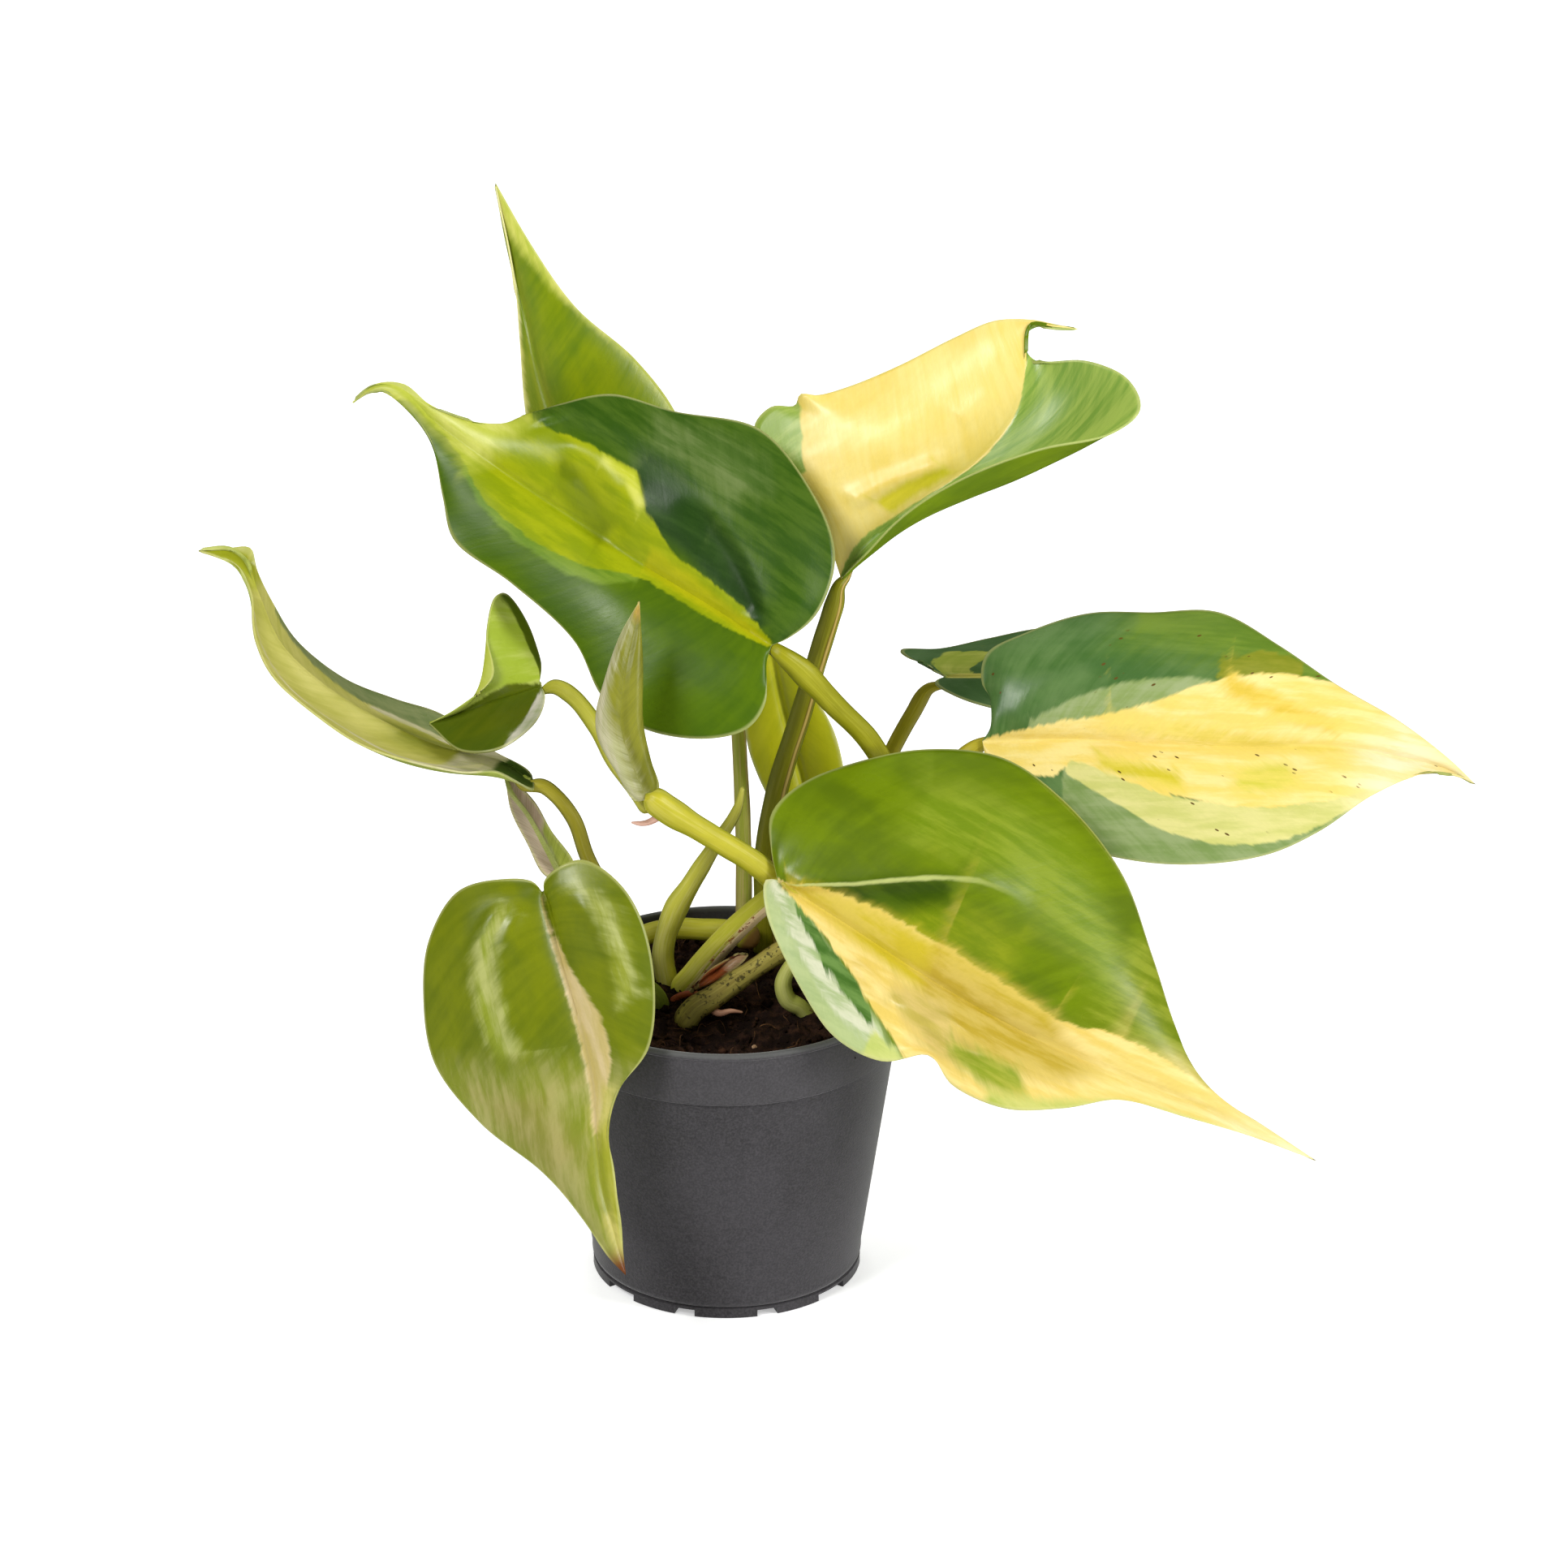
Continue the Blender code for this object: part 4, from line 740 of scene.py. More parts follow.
def blade_material(name, look, lower=False):
    """Waxy leaf skin: two greens in streaks along the veins, then each colour patch."""
    s = Shader(name)
    vein, place = s.vector("vein"), s.vector("place")
    streak = s.noise(s.stretch(vein, 0.55, 0.07), 1.0, 4.0, 0.55)
    broad = s.noise(s.stretch(place, 0.11, 0.07), 1.0, 3.0)
    flow = s.noise(s.stretch(place, 0.38, 0.07), 1.0, 4.0, 0.6)
    teeth = s.noise(s.stretch(vein, 0.5, 0.12), 1.0, 5.0, 0.62)
    fleck = s.noise(s.stretch(vein, 1.6, 1.2), 1.0, 4.0, 0.65)
    tone = s.step(s.math("ADD", s.math("MULTIPLY", streak, 0.35), s.math("MULTIPLY", broad, 0.65)),
                  0.36, 0.64)
    pair = look["under"] if lower else look["base"]
    colour = s.mix(tone, srgb(pair[0]), srgb(pair[1]))
    if not lower:
        for k, patch in enumerate(look["patches"]):
            pull = s.math("MULTIPLY", s.math("SUBTRACT", teeth, 0.5), 2.2 * patch["jag"])
            reach = s.math("ADD", s.value("patch%d" % k), pull)
            share = s.step(reach, -patch["soft"], patch["soft"])
            grain = patch["streak"]                   # streaks along the veins, or a long soft flow
            own = s.step(s.math("ADD", s.math("MULTIPLY", streak, grain),
                                s.math("MULTIPLY", flow, 1 - grain)), 0.38, 0.62)
            colour = s.mix(share, colour, s.mix(own, srgb(patch["colour"][0]), srgb(patch["colour"][1])))
    rim = s.step(s.value("rim"), 0.45, 0.1)
    colour = s.mix(s.math("MULTIPLY", rim, 0.4), colour, srgb(PALE_RIM))
    # painted highlight: a pale line along the crest of the fold marked pale, fading towards its ends
    if not lower and any(f.get("pale") for f in look["folds"]):
        lit = s.math("ADD", s.math("ABSOLUTE", s.value("crest")),
                     s.math("MULTIPLY", s.math("SUBTRACT", teeth, 0.5), 0.6))
        pale = s.math("MULTIPLY", s.step(lit, 0.6, 0.1, 0.0, 0.7), s.value("crest_highlight_share"))
        colour = s.mix(pale, colour, srgb(CREST_HIGHLIGHT))
    shade = s.math("MULTIPLY", s.math("SUBTRACT", fleck, 0.5), 0.16)
    colour = s.add("ShaderNodeHueSaturation", {"Value": s.math("ADD", shade, 1.0), "Color": colour})
    if look.get("specks"):
        dots = s.add("ShaderNodeTexVoronoi", {"Vector": vein, "Scale": 0.42}, out=0)
        dark = s.math("MULTIPLY", s.step(dots, 0.13, 0.09), s.step(broad, 0.5, 0.56))
        colour = s.mix(dark, colour, srgb(SPECK_BROWN))
    if look.get("brown_tip"):
        colour = s.mix(s.step(s.value("tip"), 4.5, 1.0), colour, srgb(TIP_BROWN))
    if look.get("fibres"):
        lines = s.noise(s.stretch(vein, 5.0, 0.12), 1.0, 2.0)
        colour = s.mix(s.step(lines, 0.45, 0.7, 0.0, 0.5), colour, srgb(FIBRE_OLIVE))
    s.set(Base_Color=colour, Roughness=s.step(broad, 0.3, 0.7, 0.27, 0.4),
          Specular_IOR_Level=look.get("shine", 0.36))
    if look.get("fibres") or lower:
        s.set(Roughness=0.55, Specular_IOR_Level=0.2)
    crease = s.step(s.value("from_rib"), 0.0, 0.9)
    ladder = s.math("PINGPONG", s.add("ShaderNodeSeparateXYZ", {0: vein}), VEIN_GAP)
    ladder = s.step(s.math("ADD", ladder, s.math("MULTIPLY", s.math("SUBTRACT", broad, 0.5), 1.5)), 0.0, 0.8)
    height = s.math("ADD", s.math("MULTIPLY", streak, 0.16), s.math("MULTIPLY", fleck, 0.1))
    height = s.math("ADD", height, s.math("MULTIPLY", crease, 0.5))
    height = s.math("ADD", height, s.math("MULTIPLY", ladder, 0.03))
    s.bump(height, 0.35 if not look.get("fibres") else 0.6, 0.0006)
    return s.material


def stalk_material(name, look):
    """Stalk skin: a lighter top and a darker side colour, painted light and shade except where the side
    colour is the stalk's own, with streaks that run along the stalk.
    """
    s = Shader(name)
    along = s.vector("along")          # (cos turn, sin turn, length)
    turn = s.value("turn")             # angle from the side that faces front and up
    lines = s.noise(s.stretch(along, 3.0, 3.0, 0.05), 1.0, 3.0, 0.6)
    cloud = s.noise(s.stretch(along, 0.6, 0.6, 0.12), 1.0, 3.0)
    one_sided = "side_from" in look    # the second colour lies on one side only, from that angle on
    around = turn if one_sided else s.math("ABSOLUTE", turn)
    shift = s.math("ADD", around, s.math("MULTIPLY", s.math("SUBTRACT", lines, 0.5), 1.6))
    first = look.get("side_from", 0.4)
    # painted light and shade: top colour on the face turned to the lamps, side colour on the shaded flanks
    # (the speckled stalk's cream side is its own colour)
    colour = s.mix(s.step(shift, first, first + (0.3 if one_sided else 1.1)), srgb(look["top"]),
                   srgb(look["side"]))
    streaks = s.math("MULTIPLY", s.step(lines, 0.48, 0.6), look["streaks"])
    colour = s.mix(streaks, colour, srgb(look["line"]))
    edge = look.get("edge")
    if edge:
        off = s.math("ABSOLUTE", s.math("SUBTRACT", turn, edge["turn"]))
        off = s.math("ADD", off, s.math("MULTIPLY", s.math("SUBTRACT", lines, 0.5), 0.5))
        colour = s.mix(s.step(off, edge["width"], edge["width"] * 0.5), colour, srgb(edge["colour"]))
        colour = s.mix(s.math("MULTIPLY", s.step(s.math("ABSOLUTE", s.math("SUBTRACT", off, edge["width"])),
                                                 0.1, 0.03), 0.6), colour, srgb((104, 72, 20)))
    if look.get("specks"):
        spots = s.noise(s.stretch(along, 3.0, 3.0, 0.8), 1.0, 3.0, 0.7)
        off = s.math("ABSOLUTE", s.math("SUBTRACT", turn, look.get("seam", 0.0)))
        band = s.math("MULTIPLY", s.step(off, 0.34, 0.12), look["specks"])
        colour = s.mix(s.math("MULTIPLY", s.step(spots, 0.55, 0.6), band), colour, srgb((150, 62, 24)))
    if look.get("blotch"):
        blot = s.noise(s.stretch(along, 1.6, 1.6, 0.9), 1.0, 4.0, 0.7)
        colour = s.mix(s.math("MULTIPLY", s.step(blot, 0.54, 0.6), look["blotch"]), colour,
                       srgb((50, 44, 20)))
    if look.get("brown_end"):
        colour = s.mix(s.step(s.value("left_to_go"), look["brown_end"], look["brown_end"] * 0.4), colour,
                       srgb((150, 110, 60)))
    shade = s.step(cloud, 0.3, 0.7, 0.9, 1.08)
    colour = s.add("ShaderNodeHueSaturation", {"Value": shade, "Color": colour})
    s.set(Base_Color=colour, Roughness=look.get("rough", 0.4), Specular_IOR_Level=0.3)
    s.bump(lines, 0.3, 0.0004)
    return s.material


def plastic_material():
    """Dark grey moulded plastic with a fine matt grain, a collar painted a little lighter and a painted
    highlight along the lip.
    """
    s = Shader("pot plastic")
    place = s.add("ShaderNodeTexCoord", out=3)
    grain = s.noise(place, 2600.0, 2.0, 0.6)
    cloud = s.noise(place, 60.0, 3.0)
    height = s.add("ShaderNodeSeparateXYZ", {0: place}, out=2)
    colour = s.mix(s.step(cloud, 0.35, 0.65), srgb((46, 44, 46)), srgb((53, 51, 54)))
    colour = s.mix(s.step(grain, 0.3, 0.75, 0.0, 0.4), colour, srgb((90, 86, 90)))
    # painted light: the collar above its step is painted a little lighter grey, where it catches more light
    band = POT_HEIGHT - COLLAR_HEIGHT
    collar = s.step(height, band * MM, (band + 0.5) * MM)
    colour = s.mix(s.math("MULTIPLY", collar, 0.2), colour, srgb((94, 92, 94)))
    # painted highlight: a thin paler band along the lip
    lip_highlight = s.step(height, (POT_HEIGHT - 0.9) * MM, (POT_HEIGHT - 0.4) * MM)
    colour = s.mix(s.math("MULTIPLY", lip_highlight, 0.55), colour, srgb((96, 98, 94)))
    s.set(Base_Color=colour, Roughness=s.step(grain, 0.2, 0.8, 0.48, 0.66), Specular_IOR_Level=0.3,
          Sheen_Weight=0.4, Sheen_Roughness=0.45)
    s.bump(s.math("ADD", grain, s.math("MULTIPLY", cloud, 0.3)), 0.5, 0.00012)
    return s.material


def soil_material(name, dark, light):
    s = Shader(name)
    place = s.add("ShaderNodeTexCoord", out=3)
    clod = s.noise(place, 420.0, 5.0, 0.7)
    colour = s.mix(s.step(clod, 0.42, 0.72), srgb(dark), srgb(light))
    s.set(Base_Color=colour, Roughness=0.92, Specular_IOR_Level=0.1)
    s.bump(clod, 0.9, 0.0008)
    return s.material


# ---- blades ---------------------------------------------------------------------------------
def side_of(points, v):
    """The u of a boundary given by (v, u) points, at each v."""
    at = sorted(points)
    return np.interp(v, [p[0] for p in at], [p[1] for p in at])


def line_distance(line, x, y):
    """Signed distance from a line of points, and the share of the way along it."""
    best = np.full(x.shape, 1e9)
    side = np.zeros(x.shape)
    share = np.zeros(x.shape)
    total = len(line) - 1
    for k, ((ax, ay), (bx, by)) in enumerate(zip(line, line[1:])):
        dx, dy = bx - ax, by - ay
        t = np.clip(((x - ax) * dx + (y - ay) * dy) / (dx * dx + dy * dy), 0, 1)
        away = np.hypot(x - ax - t * dx, y - ay - t * dy)
        near = away < best
        cross = (x - ax) * dy - (y - ay) * dx
        best = np.where(near, away, best)
        side = np.where(near, np.sign(cross), side)
        share = np.where(near, (k + t) / total, share)
    return best * side, share


def build_blade(node, spec, look):
    obj, u, v = grid_object(node.replace("leaf_", "blade_"), ACROSS, ALONG)
    rows = np.linspace(0.0, 1.0, ALONG + 1)
    row = np.rint(v * ALONG).astype(int)
    mid = smooth_curve(spec["rib"], rows ** RIB_EASE)
    run = blur_rows(np.gradient(mid, axis=0), 4)
    length = np.linalg.norm(np.diff(mid, axis=0), axis=1).sum()
    reach, arch, nicks = [], [], []
    settle = (smoothstep(0.0, 0.1, rows) * smoothstep(1.0, 0.88, rows))[:, None]
    for edge, sign, lift in ((spec["left"], -1, spec["bow"][0]), (spec["right"], 1, spec["bow"][1])):
        margin = smooth_curve(edge, rows)
        nick = (margin - blur_rows(margin, 60)) * settle     # small turns of the margin stay at the margin
        nicks.append(nick)
        out = margin - nick - mid
        up = np.cross(out, run) * sign
        up = blur_rows(up / (np.linalg.norm(up, axis=1, keepdims=True) + 1e-9), 6)
        up /= np.linalg.norm(up, axis=1, keepdims=True) + 1e-9
        reach.append(out)
        arch.append(up * np.linalg.norm(out, axis=1, keepdims=True) * lift)
    left = (u < 0)[:, None]
    a = np.abs(u)[:, None]
    out = np.where(left, reach[0][row], reach[1][row])
    bow = np.where(left, arch[0][row], arch[1][row])
    places = mid[row] + out * a + bow * 4 * a * (1 - a)
    places += np.where(left, nicks[0][row], nicks[1][row]) * a ** 12
    half = np.linalg.norm(out, axis=1)

    # folds and a slight restless surface, pushed along the blade's own normals
    x, y = u * half, v * length
    push = -0.4 * np.exp(-(x / 0.9) ** 2) * (1 - v)
    push += 0.22 * ripples(x / 9.0, y / 12.0, look["seed"]) * smoothstep(0.0, 6.0, half * np.abs(u))
    widest = max(np.linalg.norm(reach[0], axis=1).max(), np.linalg.norm(reach[1], axis=1).max())
    crest = np.full_like(u, 9.0)            # distance from the one fold crest that gets a painted highlight, for the material
    crest_highlight_share = np.zeros_like(u)          # and how strongly that painted highlight shows
    for fold in look["folds"]:
        line = [(fu * widest * 0.9, fv * length) for fu, fv in fold["line"]]
        away, share = line_distance(line, u * widest * 0.9, v * length)
        fade = smoothstep(0.0, 0.18, share) * smoothstep(1.0, 0.75, share)
        spread = np.where(away > 0, fold["near"], fold["far"])
        push += fold["height"] * np.exp(-(away / spread) ** 2) * fade
        # the fold whose crest gets the painted highlight
        if fold.get("pale"):
            crest = away
            crest_highlight_share = smoothstep(0.0, 0.1, share) * smoothstep(1.0, 0.6, share)
    set_shape(obj, places)
    normal = np.empty(len(u) * 3)
    obj.data.vertex_normals.foreach_get("vector", normal)
    normal = normal.reshape(-1, 3)
    places += normal * (push * smoothstep(0.0, 0.05, v) * smoothstep(1.0, 0.9, v))[:, None]
    set_shape(obj, places)

    # what the material reads, in millimetres
    across = v * length - 0.75 * np.abs(x)
    set_values(obj, "vein", np.stack([across, np.abs(x) + 40.0 * (u < 0),
                                      np.full_like(u, look["seed"] * 7.0)], axis=1), "FLOAT_VECTOR")
    set_values(obj, "place", np.stack([x, y, np.full_like(u, look["seed"] * 5.0)], axis=1), "FLOAT_VECTOR")
    set_values(obj, "rim", (1 - np.abs(u)) * half)
    set_values(obj, "tip", (1 - v) * length)
    set_values(obj, "from_rib", np.abs(x))
    set_values(obj, "crest", crest)
    set_values(obj, "crest_highlight_share", crest_highlight_share)
    wide = np.maximum(half, 2.0)
    for k, patch in enumerate(look["patches"]):
        inside = np.full_like(u, 99.0)
        for side, sign in (("left", 1), ("right", -1)):
            edge = side_of(patch[side], rows)
            lean = np.gradient(edge, rows)[row] * wide / length      # how far the border slants
            inside = np.minimum(inside, sign * (u - edge[row]) * wide / np.sqrt(1 + lean ** 2))
        set_values(obj, "patch%d" % k, np.clip(inside, -20, 20))

    obj.data.materials.append(blade_material(obj.name + " top", look))
    obj.data.materials.append(blade_material(obj.name + " underside", look, lower=True))
    finish_mesh(obj)
    skin = obj.modifiers.new("thickness", "SOLIDIFY")
    skin.thickness = BLADE_THICK * MM
    skin.offset = -1.0
    skin.material_offset = 1
    hand_over(obj, node)
    rib = np.nonzero(np.abs(u) < 0.001)[0]
    rib = rib[np.argsort(v[rib])][UNDER_RIB_ROWS]           # where the stalk lies under the rib
    return places[rib] - normal[rib] * np.array(UNDER_RIB_DEPTHS)


# ---- stems and stalks -----------------------------------------------------------------------
def bend_round(obj, u, v, rings, route, size, up, squeeze=1.0):
    """Rolls a flat grid round a route; u turns round it, v runs along it. Returns the turn."""
    run = blur_rows(np.gradient(route, axis=0), 3)
    run /= np.linalg.norm(run, axis=1, keepdims=True)
    sideways = np.cross(run, up)
    sideways /= np.linalg.norm(sideways, axis=1, keepdims=True) + 1e-9
    over = np.cross(sideways, run)
    row = np.rint(v * rings).astype(int)
    turn = u * math.pi                                  # 0 faces "up", the seam is at the back
    r = (size[row] * squeeze)[:, None]
    places = route[row] + r * (sideways[row] * np.sin(turn)[:, None] + over[row] * np.cos(turn)[:, None])
    set_shape(obj, places)
    return turn


def strand(name, line, thick):
    obj, u, v = grid_object(name, 4, 8)
    share = np.linspace(0.0, 1.0, 9)
    size = thick * np.sqrt(np.clip(1 - (2 * share - 1) ** 8, 0, 1))
    bend_round(obj, u, v, 8, smooth_curve(line, share), size, np.array((0.01, 0.02, 1.0)))
    finish_mesh(obj, merge=0.000002)
    return obj


def build_stalk(node, spec, bases):
    points = list(spec["points"])
    size = list(spec["radius"])
    if "blade" in spec:                     # run on under the leaf and thin out into its rib
        share_end = 0.88
        size = [(share * share_end, r) for share, r in size] + [(1.0, 0.25)]
        points += [tuple(p) for p in bases[spec["blade"]]]
    obj, u, v = grid_object("skin_" + node, ROUND, RINGS)
    share = np.linspace(0.0, 1.0, RINGS + 1)
    route = smooth_curve(points, share)
    length = np.linalg.norm(np.diff(route, axis=0), axis=1).sum()
    thick = blur_rows(np.interp(share, *zip(*size)), 3)
    cap = 1.2 * thick[[0, -1]] / length                 # rounded ends
    thick *= np.sqrt(np.clip(1 - np.clip(1 - share / cap[0], 0, 1) ** 2, 0, 1))
    thick *= np.sqrt(np.clip(1 - np.clip(1 - (1 - share) / cap[1], 0, 1) ** 2, 0, 1))
    lumps = 1.0 + spec.get("lumps", 0.03) * ripples(np.cos(u * math.pi), v * length / 4.0, len(node))
    channel = 1.0 - spec.get("channel", 0.0) * np.exp(-(u * math.pi / 0.45) ** 2)
    turn = bend_round(obj, u, v, RINGS, route, thick, np.array(STALK_FACE), lumps * channel)
    set_values(obj, "along", np.stack([np.cos(turn), np.sin(turn), v * length], axis=1), "FLOAT_VECTOR")
    set_values(obj, "turn", turn)
    set_values(obj, "left_to_go", (1 - v) * length)
    obj.data.materials.append(stalk_material(obj.name, spec))
    finish_mesh(obj, merge=0.000005)
    hand_over(obj, node)


# ---- pot ------------------------------------------------------------------------------------
def pot_profile():
    """(radius, height) points from the inside floor, over the lip and down to the foot."""
    collar = POT_HEIGHT - COLLAR_HEIGHT
    wall_top = RIM_RADIUS - COLLAR_FLARE - COLLAR_STEP
    inner = BASE_RADIUS - WALL
    lip = [(RIM_RADIUS - WALL / 2 + (WALL / 2) * math.cos(t), POT_HEIGHT - 0.45 + 0.45 * math.sin(t))
           for t in np.linspace(math.pi, 0.0, 9)]
    bend = [(BASE_RADIUS - 0.9 + 0.9 * math.cos(t), 3.2 - 1.3 * math.sin(t))
            for t in np.linspace(0.0, math.pi / 2, 7)]
    return [
        (4.0, FLOOR_TOP), (inner - 1.2, FLOOR_TOP), (inner - 0.3, FLOOR_TOP + 0.35), (inner, FLOOR_TOP + 1.2),
        (RIM_RADIUS - WALL - 0.1, POT_HEIGHT - 1.2), *lip,
        (RIM_RADIUS - 0.03, POT_HEIGHT - 1.0), (RIM_RADIUS - 0.16, POT_HEIGHT - 1.15),
        (RIM_RADIUS - 0.16, POT_HEIGHT - 1.35), (RIM_RADIUS - 0.1, POT_HEIGHT - 1.5),
        (wall_top + 0.55, collar + 0.5), (wall_top + 0.46, collar + 0.12), (wall_top + 0.3, collar),
        (wall_top + 0.05, collar - 0.1), (wall_top, collar - 0.4), (BASE_RADIUS, 4.4), *bend,
        (FOOT_RADIUS - 0.1, FOOT_HEIGHT - 0.3), (FOOT_RADIUS - 0.05, 0.15), (FOOT_RADIUS - 0.2, 0.0),
        (FOOT_RADIUS - FOOT_WIDTH, 0.0), (FOOT_RADIUS - FOOT_WIDTH, NOTCH_HEIGHT + 0.4),
        (PAD_RADIUS, NOTCH_HEIGHT + 0.4), (PAD_RADIUS, 0.0), (4.0, 0.0),
    ]


def ring_walk(name, profile, around):
    """A turned solid: a ring of edges extruded from point to point of a (radius, height) profile."""
    bpy.ops.object.select_all(action="DESELECT")
    radius, height = profile[0]
    bpy.ops.mesh.primitive_circle_add(vertices=around, radius=radius * MM, fill_type="NGON",
                                      location=(0, 0, height * MM))
    obj = bpy.context.active_object
    obj.name = obj.data.name = name
    bpy.ops.object.transform_apply(location=True, rotation=True, scale=True)
    bpy.ops.object.mode_set(mode="EDIT")
    bpy.ops.mesh.select_all(action="DESELECT")
    bpy.ops.mesh.select_mode(type="EDGE")
    bpy.ops.mesh.select_all(action="SELECT")
    for (r0, z0), (r1, z1) in zip(profile, profile[1:]):
        bpy.ops.mesh.extrude_edges_move(TRANSFORM_OT_translate={"value": (0, 0, (z1 - z0) * MM)})
        bpy.ops.transform.resize(value=(r1 / r0, r1 / r0, 1.0), center_override=(0, 0, z1 * MM))
    bpy.ops.mesh.edge_face_add()
    bpy.ops.mesh.select_all(action="SELECT")
    bpy.ops.mesh.normals_make_consistent(inside=False)
    bpy.ops.object.mode_set(mode="OBJECT")
    return obj


def build_pot():
    pot = ring_walk("pot", pot_profile(), 160)
    cutters = []
    for angle, width in NOTCHES:
        wide = 2 * FOOT_RADIUS * MM * math.sin(math.radians(width / 2))
        for side in (-1, 1):
            turn = math.radians(side * angle - 90.0)
            bpy.ops.object.select_all(action="DESELECT")
            bpy.ops.mesh.primitive_cube_add(size=1.0, rotation=(0, 0, turn), location=(
                FOOT_RADIUS * MM * math.cos(turn), FOOT_RADIUS * MM * math.sin(turn), 0.0))
            notch = bpy.context.active_object
            notch.scale = (8 * MM, wide, 2 * NOTCH_HEIGHT * MM)
            cutters.append(notch)
    for i in range(DRAIN_COUNT):
        turn = 2 * math.pi * i / DRAIN_COUNT
        bpy.ops.object.select_all(action="DESELECT")
        bpy.ops.mesh.primitive_cylinder_add(vertices=32, radius=DRAIN_RADIUS * MM, depth=4 * FLOOR_TOP * MM,
                                            location=(DRAIN_CIRCLE * MM * math.cos(turn),
                                                      DRAIN_CIRCLE * MM * math.sin(turn), FLOOR_TOP * MM))
        cutters.append(bpy.context.active_object)
    for cutter in cutters:
        cut = pot.modifiers.new("cut", "BOOLEAN")
        cut.solver = "EXACT"
        cut.object = cutter
        bpy.ops.object.select_all(action="DESELECT")
        pot.select_set(True)
        bpy.context.view_layer.objects.active = pot
        bpy.ops.object.modifier_apply(modifier=cut.name)
        bpy.data.objects.remove(cutter)
    pot.data.materials.clear()
    pot.data.materials.append(plastic_material())
    bpy.ops.object.shade_smooth_by_angle(angle=math.radians(32))
    hand_over(pot, "nursery_pot")


# ---- soil -----------------------------------------------------------------------------------
def soil_height(x, y):
    """Height of the lumpy soil top at a place, in millimetres."""
    rough = noise.fractal(Vector((x * 0.28, y * 0.28, 3.0)), 0.9, 2.1, 6)
    broad = noise.noise(Vector((x * 0.07, y * 0.07, 9.0)))
    return SOIL_TOP - 0.5 + 1.1 * rough + 0.8 * broad - 1.2 * (math.hypot(x, y) / SOIL_RADIUS) ** 6


def build_soil():
    obj, u, v = grid_object("soil_top", 150, 150)
    w = v * 2 - 1
    x = u * np.sqrt(1 - w * w / 2) * SOIL_RADIUS            # a square grid spread into a disc
    y = w * np.sqrt(1 - u * u / 2) * SOIL_RADIUS
    z = np.array([soil_height(a, b) for a, b in zip(x, y)])
    set_shape(obj, np.stack([x, y, z], axis=1))
    obj.data.materials.append(soil_material("peat", (26, 16, 12), (62, 40, 28)))
    finish_mesh(obj)
    plug = obj.modifiers.new("plug", "SOLIDIFY")
    plug.thickness = SOIL_SKIN * MM
    plug.offset = -1.0
    hand_over(obj, "soil")


def strewn(first, name, places, material):
    """Copies of one small solid, each placed by its own matrix, joined into one piece."""
    copies = []
    for place in places:
        copy = first.copy()
        copy.data = first.data.copy()
        copy.data.transform(place)
        bpy.context.scene.collection.objects.link(copy)
        copies.append(copy)
    bpy.data.objects.remove(first)
    return joined(copies, name, material)


def joined(parts, name, material):
    bpy.ops.object.select_all(action="DESELECT")
    for part in parts:
        part.select_set(True)
    bpy.context.view_layer.objects.active = parts[0]
    bpy.ops.object.join()
    piece = bpy.context.active_object
    piece.name = piece.data.name = name
    piece.data.materials.clear()
    piece.data.materials.append(material)
    piece.data.shade_smooth()
    return piece


def pebble(subdivisions):
    bpy.ops.object.select_all(action="DESELECT")
    bpy.ops.mesh.primitive_ico_sphere_add(subdivisions=subdivisions, radius=1.0)
    return bpy.context.active_object


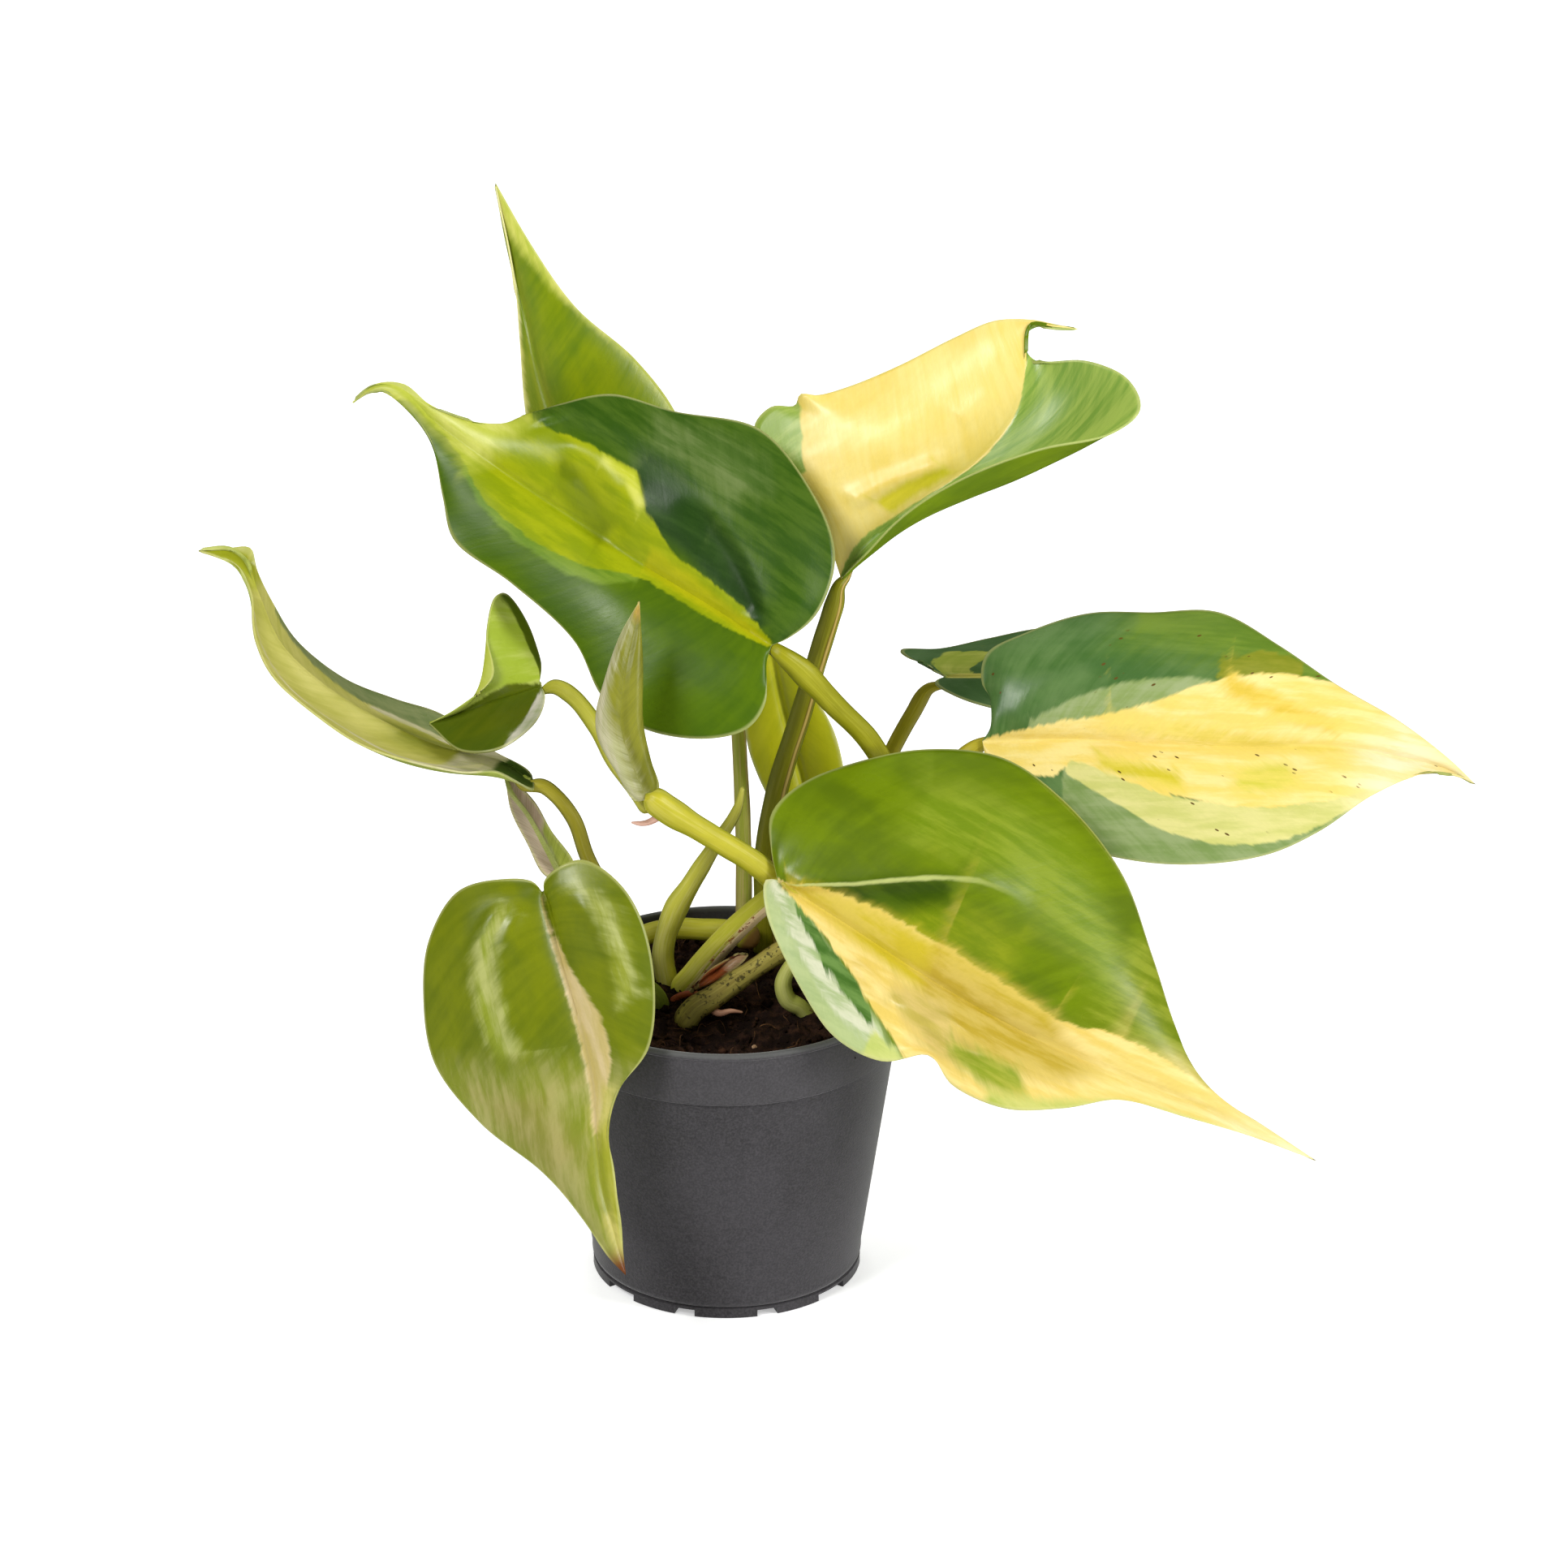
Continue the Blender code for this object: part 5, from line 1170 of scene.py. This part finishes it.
def build_crumbs():
    """Loose crumbs, fibres and pale grains strewn over the soil."""
    rng = np.random.default_rng(SEED)
    places = []
    for _ in range(CRUMBS):
        r, t = SOIL_RADIUS * 0.96 * math.sqrt(rng.uniform()), rng.uniform(0, 2 * math.pi)
        x, y = r * math.cos(t), r * math.sin(t)
        size = 0.22 + 0.75 * rng.uniform() ** 3
        place = Matrix.Translation(Vector((x, y, soil_height(x, y) + size * 0.3)) * MM)
        turn = Matrix.Rotation(rng.uniform(0, 6.28), 4, Vector(rng.normal(size=3)).normalized())
        shape = Matrix.Diagonal((*(rng.uniform(0.6, 1.3, 3) * size * MM), 1.0))
        places.append(place @ turn @ shape)
    crumbs = strewn(pebble(1), "soil_crumbs", places, soil_material("crumbs", (26, 15, 11), (66, 42, 28)))
    hand_over(crumbs)

    strands = []
    for k in range(FIBRES):
        r, t = SOIL_RADIUS * 0.9 * math.sqrt(rng.uniform()), rng.uniform(0, 2 * math.pi)
        x, y, head = r * math.cos(t), r * math.sin(t), rng.uniform(0, 6.28)
        reach, bend, thick = rng.uniform(1.5, 5.0), rng.uniform(-0.9, 0.9), rng.uniform(0.05, 0.11)
        line = []
        for i in range(6):
            px, py = x + reach * i / 5 * math.cos(head), y + reach * i / 5 * math.sin(head)
            head += bend / 5
            inside = min(1.0, (SOIL_RADIUS - 0.6) / math.hypot(px, py))
            px, py = px * inside, py * inside
            line.append((px, py, soil_height(px, py) + 0.1 + 0.6 * math.sin(math.pi * i / 5)))
        strands.append(strand("strand%d" % k, line, thick))
    fibres = joined(strands, "soil_fibres", soil_material("fibres", (60, 38, 24), (120, 86, 56)))
    hand_over(fibres)

    places = []
    for x, y, size in GRAINS:
        place = Matrix.Translation(Vector((x, y, soil_height(x, y) + size * 0.45)) * MM)
        places.append(place @ Matrix.Diagonal((1.1 * size * MM, 0.9 * size * MM, 0.75 * size * MM, 1.0)))
    grain = strewn(pebble(4), "grains", places, soil_material("grain", (150, 116, 86), (206, 176, 140)))
    flat = np.empty(len(grain.data.vertices) * 3)
    grain.data.vertices.foreach_get("co", flat)
    flat = flat.reshape(-1, 3)
    bumps = [noise.fractal(Vector(p) * 900, 0.8, 2.0, 4) for p in flat]
    flat += np.array(bumps)[:, None] * 0.00012 * np.array((1.0, 0.5, 0.8))
    set_shape(grain, flat / MM)
    hand_over(grain, "perlite_grain")


# ---- room -----------------------------------------------------------------------------------
# metres and watts here; shine: whether the lamp shows in glossy leaves
FLOOR_SIZE = 6.0
FLOOR_GLOW = 0.4
SKY_STRENGTH = 0.3
LAMP_AIM = (0.01, 0.0, 0.09)
LAMPS = {
    "key": dict(place=(-0.6, -0.65, 0.95), size=(0.35, 0.35), power=9.0, shine=True),
    "side": dict(place=(0.85, -0.35, 0.5), size=(0.3, 0.5), power=6.5, shine=True),
    "back": dict(place=(0.1, 0.75, 0.9), size=(0.7, 0.4), power=5.0, shine=False),
}
CAMERA_TARGET = (10.15, 0.0, 91.8)     # millimetres
CAMERA_DISTANCE = 1.5
CAMERA_SLOPE = 24.0                    # degrees down
CAMERA_LENS = 199.0


def soft_box(name, place, size, power, shine):
    data = bpy.data.lights.new(name, "AREA")
    data.shape = "RECTANGLE"
    data.size, data.size_y = size
    data.energy = power
    obj = bpy.data.objects.new(name, data)
    obj.location = place
    obj.rotation_euler = (Vector(LAMP_AIM) - Vector(place)).to_track_quat("-Z", "Y").to_euler()
    obj.visible_glossy = shine
    bpy.context.scene.collection.objects.link(obj)


def build_room():
    bpy.ops.object.select_all(action="DESELECT")
    bpy.ops.mesh.primitive_plane_add(size=FLOOR_SIZE)
    floor = bpy.context.active_object
    floor.name = "floor"
    s = Shader("floor")
    s.set(Base_Color=(0.9, 0.9, 0.9, 1.0), Roughness=0.9, Specular_IOR_Level=0.1,
          Emission_Color=(1.0, 1.0, 1.0, 1.0), Emission_Strength=FLOOR_GLOW)
    floor.visible_glossy = False
    floor.data.materials.append(s.material)

    world = bpy.data.worlds.new("studio")
    world.use_nodes = True
    sky = world.node_tree.nodes["Background"].inputs
    sky["Color"].default_value = (1.0, 1.0, 1.0, 1.0)
    sky["Strength"].default_value = SKY_STRENGTH
    world.cycles_visibility.glossy = False
    bpy.context.scene.world = world
    bpy.context.scene.view_settings.view_transform = "Standard"
    for name, lamp in LAMPS.items():
        soft_box(name, **lamp)


def build_camera():
    """A long lens that looks down on the plant from the front."""
    slope = math.radians(CAMERA_SLOPE)
    data = bpy.data.cameras.new("camera")
    data.sensor_width = 36.0
    data.lens = CAMERA_LENS
    camera = bpy.data.objects.new("camera", data)
    way_back = Vector((0.0, -math.cos(slope), math.sin(slope)))
    camera.location = Vector(CAMERA_TARGET) * MM + CAMERA_DISTANCE * way_back
    camera.rotation_euler = (math.pi / 2 - slope, 0.0, 0.0)
    bpy.context.scene.collection.objects.link(camera)
    bpy.context.scene.camera = camera


# ---- the whole plant ------------------------------------------------------------------------
build_camera()
build_room()
build_pot()
build_soil()
build_crumbs()
bases = {node: build_blade(node, spec, LOOKS[node]) for node, spec in BLADES.items()}
for node, spec in STALKS.items():
    build_stalk(node, spec, bases)
